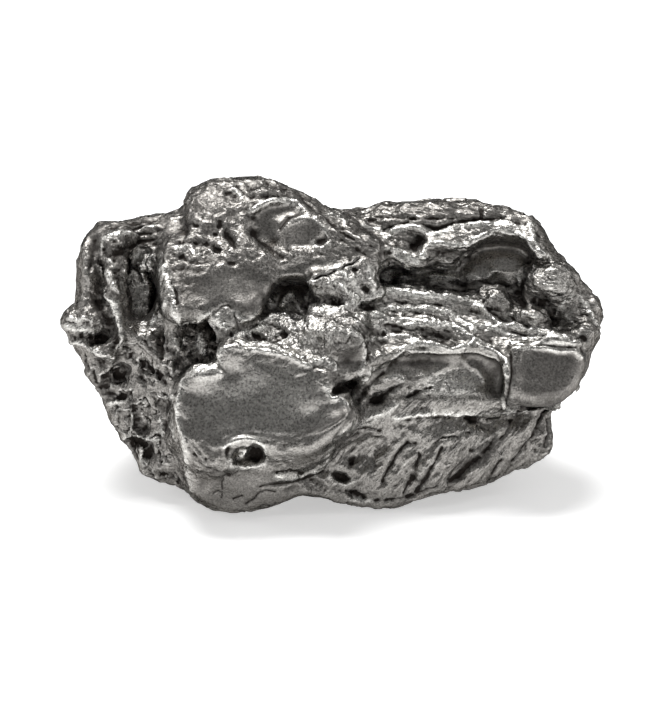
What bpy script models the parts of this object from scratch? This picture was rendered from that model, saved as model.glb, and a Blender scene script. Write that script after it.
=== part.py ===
"""An iron meteorite: one solid stone of nickel-iron, 90 mm long, resting on worn flats under it.

The stone is worked out in millimetres, as a field on a grid that is negative inside the iron.
Blocks and lumps are joined into it, and hollows are carved out of it.
Places are given as the stone is looked at from the front and a little above:
across (to the right), up (from the floor under its middle) and deep (away from the eye,
measured from its middle). The mesh is then placed in metres, with +Z up and the floor at 0.
"""

import math

import bmesh
import bpy
import numpy as np

MM = 0.001
SIGHT_TILT = math.radians(20)
SIGHT_DISTANCE = 582.0
SIGHT_CENTRE_UP = 20.06
MIDDLE_HEIGHT = 24.0

GRID_STEP = 1.0
SKIN_STEP = 0.8
GRID_LOW = np.array((-48.0, -38.0, -3.0))
GRID_HIGH = np.array((48.0, 38.0, 58.0))

BLOCK_BACK = -2.0
FRONT_REACH = 6.0
RIM_WIDTH = 2.5
FACE_LIMIT = 9400
GROUND_DEPTH = 10.0


# The sight frame

def as_seen(points):
    """Across, up and deep of points of the stone, with the eye's perspective."""
    x, y, z = points
    up = z * math.cos(SIGHT_TILT) + y * math.sin(SIGHT_TILT)
    deep = y * math.cos(SIGHT_TILT) - (z - MIDDLE_HEIGHT) * math.sin(SIGHT_TILT)
    shrink = SIGHT_DISTANCE / (SIGHT_DISTANCE + deep)
    return np.stack([x * shrink, SIGHT_CENTRE_UP + (up - SIGHT_CENTRE_UP) * shrink, deep])


# Fields

def smooth_max(a, b, blend):
    """The larger of two fields, with a fillet of about the blend's size where they meet."""
    overlap = np.maximum(blend - np.abs(a - b), 0) / blend
    return np.maximum(a, b) + overlap**2 * blend / 4


def join(stone, shape, blend=2.0):
    return -smooth_max(-stone, -shape, blend)


def carve(stone, shape, blend=1.2):
    return smooth_max(stone, -shape, blend)


def curve_through(points, pieces=3):
    """A closed Catmull-Rom curve through the points, as a finer list of points."""
    knots = np.array(points, float)
    before, after, later = (np.roll(knots, shift, 0) for shift in (1, -1, -2))
    rows = []
    for t in np.arange(pieces) / pieces:
        bend = (
            2 * knots
            + (after - before) * t
            + (2 * before - 5 * knots + 4 * after - later) * t**2
            + (3 * knots - before - 3 * after + later) * t**3
        )
        rows.append(bend / 2)
    return np.stack(rows, 1).reshape(-1, 2)


def outline_field(seen, outline):
    """Distance from a closed outline in the plane of sight, negative inside it."""
    across, up = seen[0], seen[1]
    nearest = np.full(across.shape, 1e9)
    inside = np.zeros(across.shape, bool)
    corners = curve_through(outline)
    for (ax, ay), (bx, by) in zip(corners, np.roll(corners, -1, 0)):
        ex, ey = bx - ax, by - ay
        px, py = across - ax, up - ay
        along = np.clip((px * ex + py * ey) / (ex * ex + ey * ey), 0, 1)
        nearest = np.minimum(nearest, (px - along * ex) ** 2 + (py - along * ey) ** 2)
        spans = (ay > up) != (by > up)
        inside ^= spans & (px * abs(ey) < py * ex * np.sign(ey))
    return np.sqrt(nearest) * np.where(inside, -1, 1)


def pillow(seen, outline, reach, front, back, rim_deep):
    """A body swollen from its outline: full thickness at the reach inside the outline."""
    inward = np.maximum(reach + outline_field(seen, outline), 0) / reach
    deep = seen[2] - rim_deep
    thick = np.where(deep < 0, front, back)
    size = np.sqrt(inward**2 + (deep / thick) ** 2)
    return (size - 1) * np.minimum(reach, thick)


def block(seen, outline, deep, at=(0, 0), across_slope=0.0, up_slope=0.0, edge=3.0):
    """A block with this outline and a flat front, whose edge is rounded.
    The front lies at the given deep where at says, and slopes away from there."""
    face = deep + across_slope * (seen[0] - at[0]) + up_slope * (seen[1] - at[1])
    lean = math.sqrt(1 + across_slope**2 + up_slope**2)
    front = (face - seen[2]) / lean
    sides = outline_field(seen, outline)
    both = smooth_max(front, sides, 2 * edge)
    return np.maximum(both, seen[2] - BLOCK_BACK)


def pocket(seen, outline, floor, at, across_slope=0.0, up_slope=0.0, edge=1.0):
    """The space in front of a flat floor, inside this outline."""
    ground = floor + across_slope * (seen[0] - at[0]) + up_slope * (seen[1] - at[1])
    lean = math.sqrt(1 + across_slope**2 + up_slope**2)
    return smooth_max((seen[2] - ground) / lean, outline_field(seen, outline), 2 * edge)


def from_path(seen, path):
    """Distance from a path in the plane of sight."""
    nearest = np.full(seen.shape[1:], 1e9)
    for (ax, ay), (bx, by) in zip(path, path[1:]):
        ex, ey = bx - ax, by - ay
        px, py = seen[0] - ax, seen[1] - ay
        along = np.clip((px * ex + py * ey) / (ex * ex + ey * ey), 0, 1)
        nearest = np.minimum(nearest, (px - along * ex) ** 2 + (py - along * ey) ** 2)
    return np.sqrt(nearest)


def relief(seen, strokes, pits):
    """How far the front stands out from its blocks. A stroke has a path, a width and a height.
    A pit has a centre, two radii, a turn in degrees and a depth."""
    height = np.zeros(seen.shape[1:])
    for path, width, rise in strokes:
        height += rise * np.exp(-((from_path(seen, path) / width) ** 2))
    for across, up, long, short, turn, depth in pits:
        c, s = math.cos(math.radians(turn)), math.sin(math.radians(turn))
        px, py = seen[0] - across, seen[1] - up
        far = ((px * c + py * s) / long) ** 2 + ((py * c - px * s) / short) ** 2
        height -= depth * np.exp(-(far**1.5))
    inside = np.clip(-outline_field(seen, SILHOUETTE) / RIM_WIDTH, 0, 1)
    return height * inside * np.clip((FRONT_REACH - seen[2]) / FRONT_REACH, 0, 1)


def column(values):
    return np.reshape(np.array(values, float), (3, 1, 1, 1))


def turned(turn, dip, swing):
    """A turn in the plane of sight, a dip of the top away from the eye and a swing to the side."""
    a, b, c = (math.radians(x) for x in (turn, dip, swing))
    flat = np.array([[math.cos(a), -math.sin(a), 0], [math.sin(a), math.cos(a), 0], [0, 0, 1]])
    tip = np.array([[1, 0, 0], [0, math.cos(b), -math.sin(b)], [0, math.sin(b), math.cos(b)]])
    side = np.array([[math.cos(c), 0, math.sin(c)], [0, 1, 0], [-math.sin(c), 0, math.cos(c)]])
    return flat @ tip @ side


def lump(places, at, radii, axes=None):
    """An ellipsoid. The columns of axes are its own three directions."""
    local = places - column(at)
    if axes is not None:
        local = np.tensordot(axes.T, local, 1)
    near = np.sqrt(((local / column(radii)) ** 2).sum(0))
    slope = np.sqrt(((local / column(radii) ** 2) ** 2).sum(0)) + 1e-9
    return near * (near - 1) / slope


def rod(seen, path, radius):
    """A round bar along a path, as thick at each of its points as radius says there."""
    found = np.full(seen.shape[1:], 1e9)
    radii = np.broadcast_to(radius, len(path))
    for start, end, ra, rb in zip(path, path[1:], radii, radii[1:]):
        run = column(end) - column(start)
        along = np.clip(((seen - column(start)) * run).sum(0) / (run**2).sum(), 0, 1)
        apart = np.sqrt((((seen - column(start)) - along * run) ** 2).sum(0))
        found = np.minimum(found, apart - (ra + (rb - ra) * along))
    return found


def ripple(places, size, seed):
    """Smooth random waves of about this size, between about -1 and 1."""
    draw = np.random.default_rng(seed)
    total = np.zeros(places.shape[1:])
    count = 14
    for _ in range(count):
        way = draw.normal(size=3)
        way *= 2 * math.pi / size * draw.uniform(0.7, 1.4) / np.linalg.norm(way)
        total += np.sin(np.tensordot(way, places, 1) + draw.uniform(0, 2 * math.pi))
    return total / math.sqrt(count)


# The forms of the stone

SILHOUETTE = [
    (-45.0, 25.0), (-43.8, 27.2), (-42.0, 28.2), (-41.8, 33.0), (-41.0, 38.5), (-38.5, 41.0),
    (-34.0, 41.3), (-30.0, 42.3), (-26.0, 43.0), (-24.3, 45.5), (-21.5, 48.0), (-16.0, 48.2),
    (-11.0, 48.9), (-7.5, 47.2), (-4.0, 45.7), (0.0, 43.3), (4.0, 42.5), (8.5, 43.8),
    (13.5, 44.7), (19.0, 45.0), (25.0, 44.8), (31.0, 43.2), (34.3, 41.5), (35.7, 37.5),
    (38.5, 35.3), (41.0, 32.0), (43.5, 29.5), (45.0, 27.0), (44.0, 22.5), (42.5, 17.5),
    (40.0, 14.0), (36.5, 11.5), (37.1, 5.0), (36.0, 2.0), (30.0, 0.3), (26.5, -2.3),
    (22.0, -3.2), (17.0, -3.2), (12.0, -5.6), (7.0, -6.5), (1.0, -5.0), (-5.0, -3.4),
    (-9.0, -6.3), (-15.0, -6.6), (-20.5, -6.7), (-23.5, -3.5), (-27.5, -2.3), (-31.0, -0.5),
    (-34.5, 4.5), (-38.0, 10.0), (-41.0, 16.5), (-43.5, 22.0),
]
PLATE = [
    (-25.0, 3.0), (-26.0, 10.0), (-25.3, 15.5), (-22.0, 17.3), (-19.0, 17.2), (-17.5, 20.5),
    (-11.0, 20.6), (-5.0, 18.8), (0.0, 15.5), (3.5, 11.5), (0.0, 8.5), (-7.0, 4.5), (-14.0, 1.0),
    (-20.0, -1.0),
]
NOSE = [
    (-25.3, 7.0), (-24.8, 0.0), (-23.0, -5.5), (-17.0, -8.0), (-9.0, -7.5), (-5.0, -3.5),
    (1.0, 3.0), (5.0, 9.5), (0.0, 10.5), (-8.0, 7.0), (-18.0, 6.0),
]
LOWER_BAND = [
    (-4.0, 5.0), (2.0, 10.5), (5.0, 16.0), (9.0, 19.3), (14.0, 20.6), (20.0, 20.2), (26.0, 19.5),
    (28.8, 17.0), (28.8, 11.0), (26.0, 5.0), (22.0, -1.0), (17.0, -4.0), (8.0, -8.0),
    (0.0, -6.0), (-5.0, -4.0),
]
TONGUE = [
    (29.0, 13.0), (28.9, 17.0), (30.0, 21.0), (36.0, 21.2), (41.0, 20.5), (42.6, 17.5),
    (40.5, 14.3), (36.5, 12.3), (32.0, 11.0),
]
SHELF = [
    (1.0, 15.5), (8.0, 19.5), (14.0, 21.0), (20.0, 20.3), (27.0, 19.8), (34.0, 21.3),
    (42.0, 20.5), (43.5, 22.3), (36.0, 23.8), (30.0, 26.3), (24.0, 29.0), (15.0, 30.3),
    (6.0, 31.0), (2.0, 27.0), (-6.5, 25.0), (-13.0, 25.6), (-17.8, 24.6), (-18.0, 20.5), (-5.0, 18.5),
]
PROW = [
    (-3.5, 24.0), (-3.2, 31.5), (0.0, 34.0), (4.0, 36.5), (8.0, 37.0), (6.8, 30.0), (5.5, 25.0),
    (1.0, 21.0),
]
BROW = [
    (-27.5, 27.0), (-25.5, 25.2), (-21.0, 26.0), (-17.5, 26.8), (-14.5, 25.8), (-11.8, 28.0),
    (-9.5, 32.0), (-3.0, 32.7), (1.0, 34.0), (5.0, 36.0), (7.0, 39.0), (1.5, 42.5),
    (-4.0, 45.7), (-9.5, 48.2), (-15.0, 48.1), (-21.0, 47.8), (-24.4, 45.0), (-25.0, 41.5),
    (-28.0, 38.0), (-28.5, 32.0),
]
LEFT_FOOT = [
    (-44.9, 25.0), (-43.5, 21.5), (-41.0, 16.5), (-38.0, 10.0), (-34.5, 4.5), (-31.0, -0.5),
    (-27.5, -3.0), (-24.0, -3.0), (-24.0, 10.0), (-26.0, 20.0), (-29.0, 24.5), (-34.0, 23.5),
    (-36.0, 19.5), (-40.0, 20.5), (-42.0, 23.0),
]
TOP_RIGHT = [
    (2.0, 41.5), (8.0, 43.8), (13.5, 44.6), (19.0, 45.0), (25.0, 44.6), (31.0, 43.0),
    (34.5, 41.0), (36.0, 36.5), (34.0, 36.0), (30.0, 39.8), (24.0, 39.0), (19.0, 37.0),
    (14.5, 35.4), (9.0, 37.5), (3.0, 39.0),
]
RIGHT_FOOT = [
    (22.0, 12.0), (23.0, 0.0), (30.0, -1.0), (36.0, 1.5), (37.3, 6.0), (36.6, 12.0), (30.0, 13.0),
]
HEEL = [(14.0, 4.0), (15.0, -3.5), (22.0, -4.5), (27.5, -2.0), (29.0, 3.0), (26.0, 9.0), (20.0, 8.0)]


CAVE = [
    (-14.0, 25.5), (-12.0, 28.5), (-9.5, 31.8), (-6.0, 32.3), (-3.2, 32.0), (-4.5, 27.0),
    (-6.0, 25.0), (-10.0, 24.6),
]
CHANNEL = [
    (6.5, 31.0), (7.0, 34.3), (10.0, 34.8), (14.5, 34.3), (17.0, 35.0), (20.5, 34.8), (21.5, 36.5),
    (25.0, 38.0), (29.0, 38.5), (32.5, 37.5), (34.5, 35.0), (34.0, 33.0), (31.5, 30.5),
    (32.5, 28.0), (30.0, 26.5), (26.0, 28.0), (22.0, 29.0), (15.0, 30.0), (8.0, 30.3),
]
LEFT_GAP = [
    (-34.0, 24.0), (-33.0, 28.0), (-34.2, 32.0), (-33.8, 36.0), (-31.5, 37.6), (-29.2, 36.4),
    (-30.2, 33.5), (-28.6, 30.0), (-30.5, 26.0),
]


def front_blocks(seen, stone):
    """The chunky masses of the front, from the farthest to the nearest."""
    stone = join(stone, block(seen, LEFT_FOOT, -8, (-27, 10), -0.45, -0.3))
    stone = join(stone, block(seen, RIGHT_FOOT, -4, (28, 8), 0.5, -0.4))
    stone = join(stone, block(seen, HEEL, -11, (22, 4), 0.4, -0.3))
    stone = join(stone, block(seen, LOWER_BAND, -16, (12, 18), 0.14, -0.3, edge=2))
    stone = join(stone, block(seen, NOSE, -20, (-14, 3), 0.05, -0.8))
    stone = join(stone, block(seen, SHELF, -16, (12, 20), 0.14, 0.75, edge=2))
    stone = join(stone, lump(seen, (1.0, 20.5, -14), (6.5, 4.6, 7)))
    stone = join(stone, block(seen, PLATE, -22, (-12, 11), 0.06, edge=2.2), 1.2)
    stone = join(stone, block(seen, TONGUE, -15.5, (31, 16), 0.35, edge=1.8), 1)
    stone = join(stone, block(seen, TOP_RIGHT, -8, (28, 40), -0.12, 0.9, edge=2))
    stone = join(stone, block(seen, BROW, -19, (-18, 27), 0.08, 0.5, edge=3))
    stone = join(stone, block(seen, PROW, -15, (1, 28), 0.3, 0.2, edge=2))
    return join(stone, lump(seen, (-17.6, 24.6, -15.5), (1.7, 2.4, 3)), 1)


def left_shoulder(seen, stone):
    """The rim, the rib and the spur of the left end, and the ridge beside the dark recess."""
    rim = [(-38.5, 39.3, -2), (-40.3, 36.5, -4), (-39.9, 32.5, -6), (-40.2, 28.5, -5)]
    rib = [(-33.5, 38.6, -4), (-36.0, 37.4, -7), (-36.3, 33.0, -8.5), (-35.2, 28.0, -10), (-34.6, 22.5, -8)]
    roof = [(-37.0, 38.5, 1), (-31.0, 39.6, 2), (-24.0, 40.0, 0)]
    spur = [(-43.2, 25.3, -3), (-40.5, 25.0, -6), (-37.5, 22.0, -8)]
    beside = [(-26.3, 25.5, -12), (-26.6, 20.0, -14)]
    stone = join(stone, rod(seen, rim, (1.8, 1.5, 1.9, 1.6)))
    stone = join(stone, rod(seen, roof, 2.6), 3)
    stone = carve(stone, pocket(seen, LEFT_GAP, 2, (-31, 30), edge=0.8), 0.8)
    stone = join(stone, rod(seen, rib, (1.4, 1.9, 2.3, 1.8, 1.4)), 1.5)
    stone = join(stone, rod(seen, spur, (1.9, 2.2, 2.4)))
    return join(stone, rod(seen, beside, (1.6, 1.2)), 1)


def hollows(seen, stone):
    """The deep hollows of the front."""
    stone = carve(stone, pocket(seen, CAVE, -13, (-8, 25), up_slope=1.0, edge=0.6), 0.6)
    stone = carve(stone, pocket(seen, CHANNEL, -0.5, (12, 32), -0.2, edge=1.4), 1)
    stone = carve(stone, lump(seen, (-39.0, 22.4, -10), (3.4, 1.5, 6)))
    stone = carve(stone, lump(seen, (-22.0, 21.4, -16), (3.9, 4.2, 9)), 0.8)
    stone = carve(stone, lump(seen, (36.8, 24.8, -9), (3.4, 2.6, 6), turned(-30, 0, 0)))
    stone = carve(stone, lump(seen, (14.0, 37.7, -11), (1.9, 1.3, 4), turned(35, 0, 0)), 0.6)
    stone = carve(stone, lump(seen, (-14.0, 3.2, -20), (3.1, 1.9, 3.5), turned(5, 0, 0)), 0.6)
    stone = carve(stone, lump(seen, (1.2, 14.5, -21), (2.0, 1.2, 3.5), turned(-58, 0, 0)), 0.6)
    return stone


def right_knobs(seen, stone):
    """The lumps at the right end and in the mouth of the channel."""
    stone = join(stone, lump(seen, (36.3, 31.8, -6), (3.6, 2.7, 4.5)), 1)
    stone = join(stone, lump(seen, (39.6, 31.5, -2), (1.8, 3.8, 5), turned(38, 0, 0)), 1)
    stone = join(stone, lump(seen, (43.2, 27.0, -2), (1.9, 2.8, 4)), 1)
    stone = join(stone, lump(seen, (42.3, 22.6, -6), (2.0, 2.2, 4)), 1)
    stone = join(stone, lump(seen, (27.2, 28.3, -7), (2.8, 1.9, 3), turned(-30, 0, 0)), 1)
    stone = join(stone, lump(seen, (33.0, 26.2, -8), (2.8, 1.5, 3), turned(-20, 0, 0)), 1)
    return stone


# Each stroke is a path of (across, up), a width and a height
STROKES = [
    # the crest on top of the plate, and the bump at its corner
    ([(-18, 18.5), (-17.3, 20.3), (-14, 21.0), (-10, 20.4), (-6, 18.8), (-3, 17.8), (0, 15.8)], 1.3, 0.9),
    ([(-22.5, 15.8), (-19.5, 16.2)], 1.8, 1.1),
    # the strap under the plate and the line under it
    ([(-20, 3.2), (-17, 5.5), (-8, 4.2), (-3, 3.8), (0, 6.5), (3, 9.8)], 1.8, 0.8),
    ([(-9, -1.2), (-5, -0.8), (-1, 0.6), (2, 4.0)], 1.2, -1.2),
    # the front crest of the shelf, down to the corner of the band
    ([(5, 17), (8, 19), (12, 20.6), (16, 20.6), (20, 20), (23, 21), (27, 19.5), (29, 18), (29, 14),
      (28.5, 11)], 1.3, 1.0),
    # the streaks of the shelf
    ([(7, 29.2), (17, 28.8), (22, 28.2), (25, 26.8), (28, 25), (32, 23.8), (38, 22.2), (42, 21.8)], 1.1, 1.0),
    ([(0, 26.5), (8, 25), (14, 24.8), (19, 24.3), (24, 22.5)], 1.0, 0.8),
    ([(3, 28), (9, 27.2), (15, 27), (21, 26.2), (27, 23.4), (34, 21.8)], 0.9, -0.7),
    ([(8, 22.8), (14, 23), (20, 22), (26, 21)], 0.9, -0.6),
    # the hollow facet under the crest, and the band's undercut
    ([(14, 17.5), (21, 17), (26, 15.5)], 2.4, -1.4),
    ([(6, 13.5), (12, 16.5), (17, 18.3), (21, 19)], 1.0, 0.5),
    ([(17, 8.6), (22, 8.8), (27, 9.3), (32, 10.6), (36.5, 11.6)], 1.1, -1.4),
    ([(10, 12), (4, 2)], 1.0, 0.6),
    ([(16, 10), (10, 1), (8, -3)], 1.0, 0.6),
    ([(20, 7), (15, -1)], 1.0, 0.6),
    ([(13, 8.5), (8, 0)], 0.9, -0.6),
    ([(26, 7), (20, -1)], 1.1, -1.2),
    ([(35.5, 10), (32, 1)], 0.9, -0.8),
    # the tongue's upper edge
    ([(30, 20.6), (36, 21), (41, 20.3)], 0.9, 0.6),
    # the brow: its lip, its arch, the step of its right facet and the band over the cave
    ([(-25, 27.5), (-21, 27.2), (-17.5, 28), (-14.5, 27.2)], 1.6, 0.7),
    ([(-14.5, 25.8), (-11.8, 28.4), (-9.5, 32.4), (-3, 33)], 0.9, 0.6),
    ([(-9.5, 35.2), (-4, 34.8), (2, 35.8)], 0.9, -0.4),
    ([(-13.5, 41), (-11, 38), (-8, 35.5)], 0.9, -1.0),
    ([(-13.3, 42.8), (-10, 45), (-6, 44.9), (-3, 43)], 0.9, 0.8),
    ([(-16, 45), (-17, 40), (-21, 36)], 1.6, -0.8),
    ([(-27.5, 37), (-28, 30), (-27.3, 25)], 1.1, 0.9),
    ([(2, 42), (6, 38), (8.5, 33)], 1.4, 0.8),
    # the prow's facets
    ([(-3, 32.5), (0, 30.5), (3, 29.5)], 1.1, 0.8),
    ([(-3, 24.5), (1, 25.3), (5, 24.8)], 1.2, 0.8),
    ([(-6, 22.5), (-1, 23.5), (4, 21.5)], 1.4, 0.9),
    # the double crest of the top right
    ([(0, 41), (5, 38.8), (9, 37.2), (12, 35.9), (14.5, 35.8), (15.7, 37.5), (20, 38.2), (24, 39.6),
      (28, 40.2), (32, 39.4), (34.5, 37)], 1.1, 1.0),
    ([(6, 40.5), (11, 38.9), (17, 39.8), (22, 41.2), (30, 42)], 1.0, -0.8),
    ([(8, 42.5), (14, 42), (20, 43.3), (27, 43)], 1.1, 0.6),
    # the rims of the left end
    ([(-43, 22), (-40, 20.3), (-37, 19.5)], 0.9, 0.9),
    ([(-38.2, 38), (-38.0, 27)], 0.9, -0.9),
    ([(-34.5, 23), (-30, 21), (-27, 16), (-26.8, 8), (-28, 1)], 1.5, 0.9),
]
# Each pit has a centre, its long and short radius, its turn and its depth
PITS = [
    (-34.8, 16.0, 2.2, 1.7, 20, 1.6), (-36.6, 12.6, 2.4, 1.5, -35, 1.5), (-31.0, 18.3, 1.5, 1.0, 60, 1.2),
    (-31.2, 8.6, 3.0, 1.6, 65, 1.6), (-28.4, 11.0, 1.6, 1.0, 80, 1.2), (-30.5, 3.0, 2.2, 1.4, 40, 1.3),
    (-33.0, 12.8, 1.4, 1.0, 0, 1.0), (5.3, 3.4, 3.6, 2.2, 25, 1.5), (8.0, 12.4, 1.9, 1.2, 20, 1.4),
    (12.3, 13.4, 1.5, 0.9, 30, 1.1), (4.4, -4.6, 2.2, 1.1, 10, 1.2), (1.9, -1.0, 1.6, 0.9, -20, 1.0),
    (24.6, 8.3, 1.8, 0.9, 0, 1.2), (-1.2, 28.2, 2.4, 1.2, -5, 1.3), (5.0, 27.4, 2.2, 1.1, 0, 0.6),
    (-9.4, 40.6, 4.4, 3.6, 35, 0.9), (-2.2, 38.4, 1.4, 1.1, 0, 1.2), (-21.8, 38.5, 2.6, 1.7, 30, 0.9),
    (-17.0, 41.0, 2.0, 1.4, 0, 0.9), (-24.0, 34.0, 1.8, 1.4, 0, 0.6), (-39.5, 30.0, 1.4, 2.6, 0, 0.8),
    (-17.5, -4.2, 2.2, 1.4, 10, 0.7), (-32.0, 39.8, 2.6, 1.0, 5, 0.9), (37.5, 28.4, 1.4, 1.0, 0, 0.8),
]

# Each facet has the way that it faces, its distance from the middle and the width of its rounded edge
FACETS = [
    ((0.35, 0.90, 0.26), 26, 5), ((-0.48, 0.84, 0.24), 30, 4), ((0.05, 0.72, 0.69), 29.5, 5),
    ((-0.10, 0.93, -0.36), 26.5, 4), ((0.74, 0.60, 0.30), 37.5, 5), ((-0.83, 0.52, -0.20), 39, 4),
    ((0.82, 0.30, -0.48), 37.5, 5), ((-0.55, 0.45, 0.70), 38, 4),
]
BACK_LUMPS = [
    ((-18, 17, 24), (14, 11, 12)), ((17, 17, 15), (15, 10, 9)), ((4, 15, 34), (13, 9, 9)),
    ((-33, 6, 27), (8, 9, 10)), ((33, 5, 24), (8, 9, 9)),
]
MIDDLE = (0.0, 0.0, MIDDLE_HEIGHT)
PRINT_SPACING = 11.5
PRINT_DEPTH = 0.55
CONTACTS = [(-17, -17.5), (8, -16.5), (-13, 13), (15, 12)]
BELLY_RISE = 2.4


def unseen_sides(stone, points):
    """The facets and lumps of the back and the ends."""
    for at, radii in BACK_LUMPS:
        stone = join(stone, lump(points, at, radii), 4)
    for way, distance, edge in FACETS:
        way = np.array(way) / np.linalg.norm(way)
        stone = smooth_max(stone, ((points - column(MIDDLE)) * column(way)).sum(0) - distance, edge)
    return stone


def thumbprints(points):
    """Shallow scoops that meet in soft ridges, as left by the flight through the air."""
    draw = np.random.default_rng(11)
    spots = np.stack(np.meshgrid(*[np.arange(-55, 60, PRINT_SPACING)] * 3, indexing="ij"), -1).reshape(-1, 3)
    spots += draw.uniform(-0.45, 0.45, spots.shape) * PRINT_SPACING + np.array(MIDDLE)
    total = np.zeros(points.shape[1:])
    for spot in spots:
        total += np.exp(-np.sqrt(((points - column(spot)) ** 2).sum(0)) / 0.9)
    return PRINT_DEPTH * (-0.9 * np.log(total) - 0.5 * PRINT_SPACING)


def underside(points):
    """How high the belly stands over the floor: below it at the places where the stone rests."""
    height = BELLY_RISE + 0.5 * ripple(points[:, :, :, :1], 14, seed=8)
    for x, y in CONTACTS:
        height = height - 3.2 * np.exp(-((points[0] - x) ** 2 + (points[1] - y) ** 2) / 85)
    return height


def stone_field(seen, points):
    """The field of the whole stone."""
    stone = pillow(seen, SILHOUETTE, reach=15, front=5, back=28, rim_deep=-3)
    stone = unseen_sides(stone, points)
    hidden = np.clip((seen[2] + 4) / 8, 0, 1)
    stone = stone - hidden * thumbprints(points)
    stone = front_blocks(seen, stone)
    stone = left_shoulder(seen, stone)
    stone = hollows(seen, stone)
    stone = right_knobs(seen, stone)
    stone = smooth_max(stone, outline_field(seen, SILHOUETTE) - 0.7, 1.5)
    stone = stone - relief(seen, STROKES, PITS)
    stone = stone + 0.2 * ripple(points, 9, seed=3) + 0.1 * ripple(points, 4.5, seed=4)
    return smooth_max(stone, underside(points) - points[2], 1.5)


# The mesh

CORNERS = [(i, j, k) for i in (0, 1) for j in (0, 1) for k in (0, 1)]
EDGES = [(a, b) for a in range(8) for b in range(a + 1, 8)
         if sum(abs(p - q) for p, q in zip(CORNERS[a], CORNERS[b])) == 1]


def surface_of(field):
    """Points and four-sided faces of the surface where the field is zero.
    Each grid cell that the surface passes through holds one point, the mean of where its edges cross."""
    cells = np.array(field.shape) - 1
    values = np.stack([field[i : i + cells[0], j : j + cells[1], k : k + cells[2]] for i, j, k in CORNERS])
    crossed = (values < 0).any(0) & (values >= 0).any(0)
    here = np.argwhere(crossed)
    value = values[:, crossed]
    total, count = np.zeros((len(here), 3)), np.zeros(len(here))
    for a, b in EDGES:
        cut = (value[a] < 0) != (value[b] < 0)
        share = value[a] / np.where(cut, value[a] - value[b], 1)
        ends = np.array(CORNERS[a]), np.array(CORNERS[b])
        total += np.where(cut[:, None], ends[0] + share[:, None] * (ends[1] - ends[0]), 0)
        count += cut
    number = np.full(cells, -1)
    number[crossed] = np.arange(len(here))
    faces = []
    for axis in range(3):
        side, other = (axis + 1) % 3, (axis + 2) % 3
        first = np.moveaxis(field, (axis, side, other), (0, 1, 2))
        cell = np.moveaxis(number, (axis, side, other), (0, 1, 2))
        low, high = first[:-1, 1:-1, 1:-1], first[1:, 1:-1, 1:-1]
        corners = [cell[:, :-1, :-1], cell[:, 1:, :-1], cell[:, 1:, 1:], cell[:, :-1, 1:]]
        out = (low < 0) & (high >= 0)
        into = (low >= 0) & (high < 0)
        faces.append(np.stack([c[out] for c in corners], 1))
        faces.append(np.stack([c[into] for c in corners[::-1]], 1))
    points = GRID_LOW + (here + total / count[:, None]) * GRID_STEP
    return points, np.concatenate(faces)


def make_stone():
    """The stone's mesh, with its length and depth centred on the origin."""
    axes = [np.arange(low, high, GRID_STEP) for low, high in zip(GRID_LOW, GRID_HIGH)]
    points = np.stack(np.meshgrid(*axes, indexing="ij"))
    field = stone_field(as_seen(points), points)
    verts, faces = surface_of(field)
    middle = (verts.min(0) + verts.max(0)) / 2
    verts[:, :2] -= middle[:2]
    mesh = bpy.data.meshes.new("meteorite")
    mesh.from_pydata((verts * MM).tolist(), [], faces.tolist())
    mesh.validate()
    stone = bpy.data.objects.new("meteorite", mesh)
    bpy.context.scene.collection.objects.link(stone)
    skin = stone.modifiers.new("one closed skin", "REMESH")
    skin.mode = "VOXEL"
    skin.voxel_size = SKIN_STEP * MM
    skin.adaptivity = 0
    even_faces = 2 * len(faces) * (GRID_STEP / SKIN_STEP) ** 2
    thin = stone.modifiers.new("fewer faces", "DECIMATE")
    thin.ratio = FACE_LIMIT / even_faces
    wear = stone.modifiers.new("worn flat underneath", "BOOLEAN")
    wear.operation = "DIFFERENCE"
    wear.object = ground_block()
    return stone


def ground_block():
    """The ground under the stone, which wears its belly flat where it touches. It isn't part of it."""
    mesh = bpy.data.meshes.new("ground")
    shape = bmesh.new()
    bmesh.ops.create_cube(shape, size=1)
    bmesh.ops.scale(shape, vec=(0.2, 0.2, GROUND_DEPTH * MM), verts=shape.verts)
    bmesh.ops.translate(shape, vec=(0, 0, -GROUND_DEPTH * MM / 2), verts=shape.verts)
    shape.to_mesh(mesh)
    shape.free()
    ground = bpy.data.objects.new("ground", mesh)
    bpy.context.scene.collection.objects.link(ground)
    ground.hide_render = True
    ground.display_type = "WIRE"
    return ground


def nickel_iron():
    """Wire-brushed nickel-iron, mid grey and a little warm."""
    material = bpy.data.materials.new("nickel_iron")
    material.use_nodes = True
    shader = material.node_tree.nodes["Principled BSDF"]
    shader.inputs["Base Color"].default_value = (0.27, 0.26, 0.245, 1)
    shader.inputs["Metallic"].default_value = 1.0
    shader.inputs["Roughness"].default_value = 0.35
    return material


for old in list(bpy.data.objects):
    bpy.data.objects.remove(old)
meteorite = make_stone()
meteorite.data.materials.append(nickel_iron())
meteorite.data.shade_smooth()
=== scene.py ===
"""The looks of the iron meteorite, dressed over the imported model."""

import math

import bpy
import numpy as np
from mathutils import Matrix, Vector
from mathutils.bvhtree import BVHTree
from mathutils.kdtree import KDTree


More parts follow.
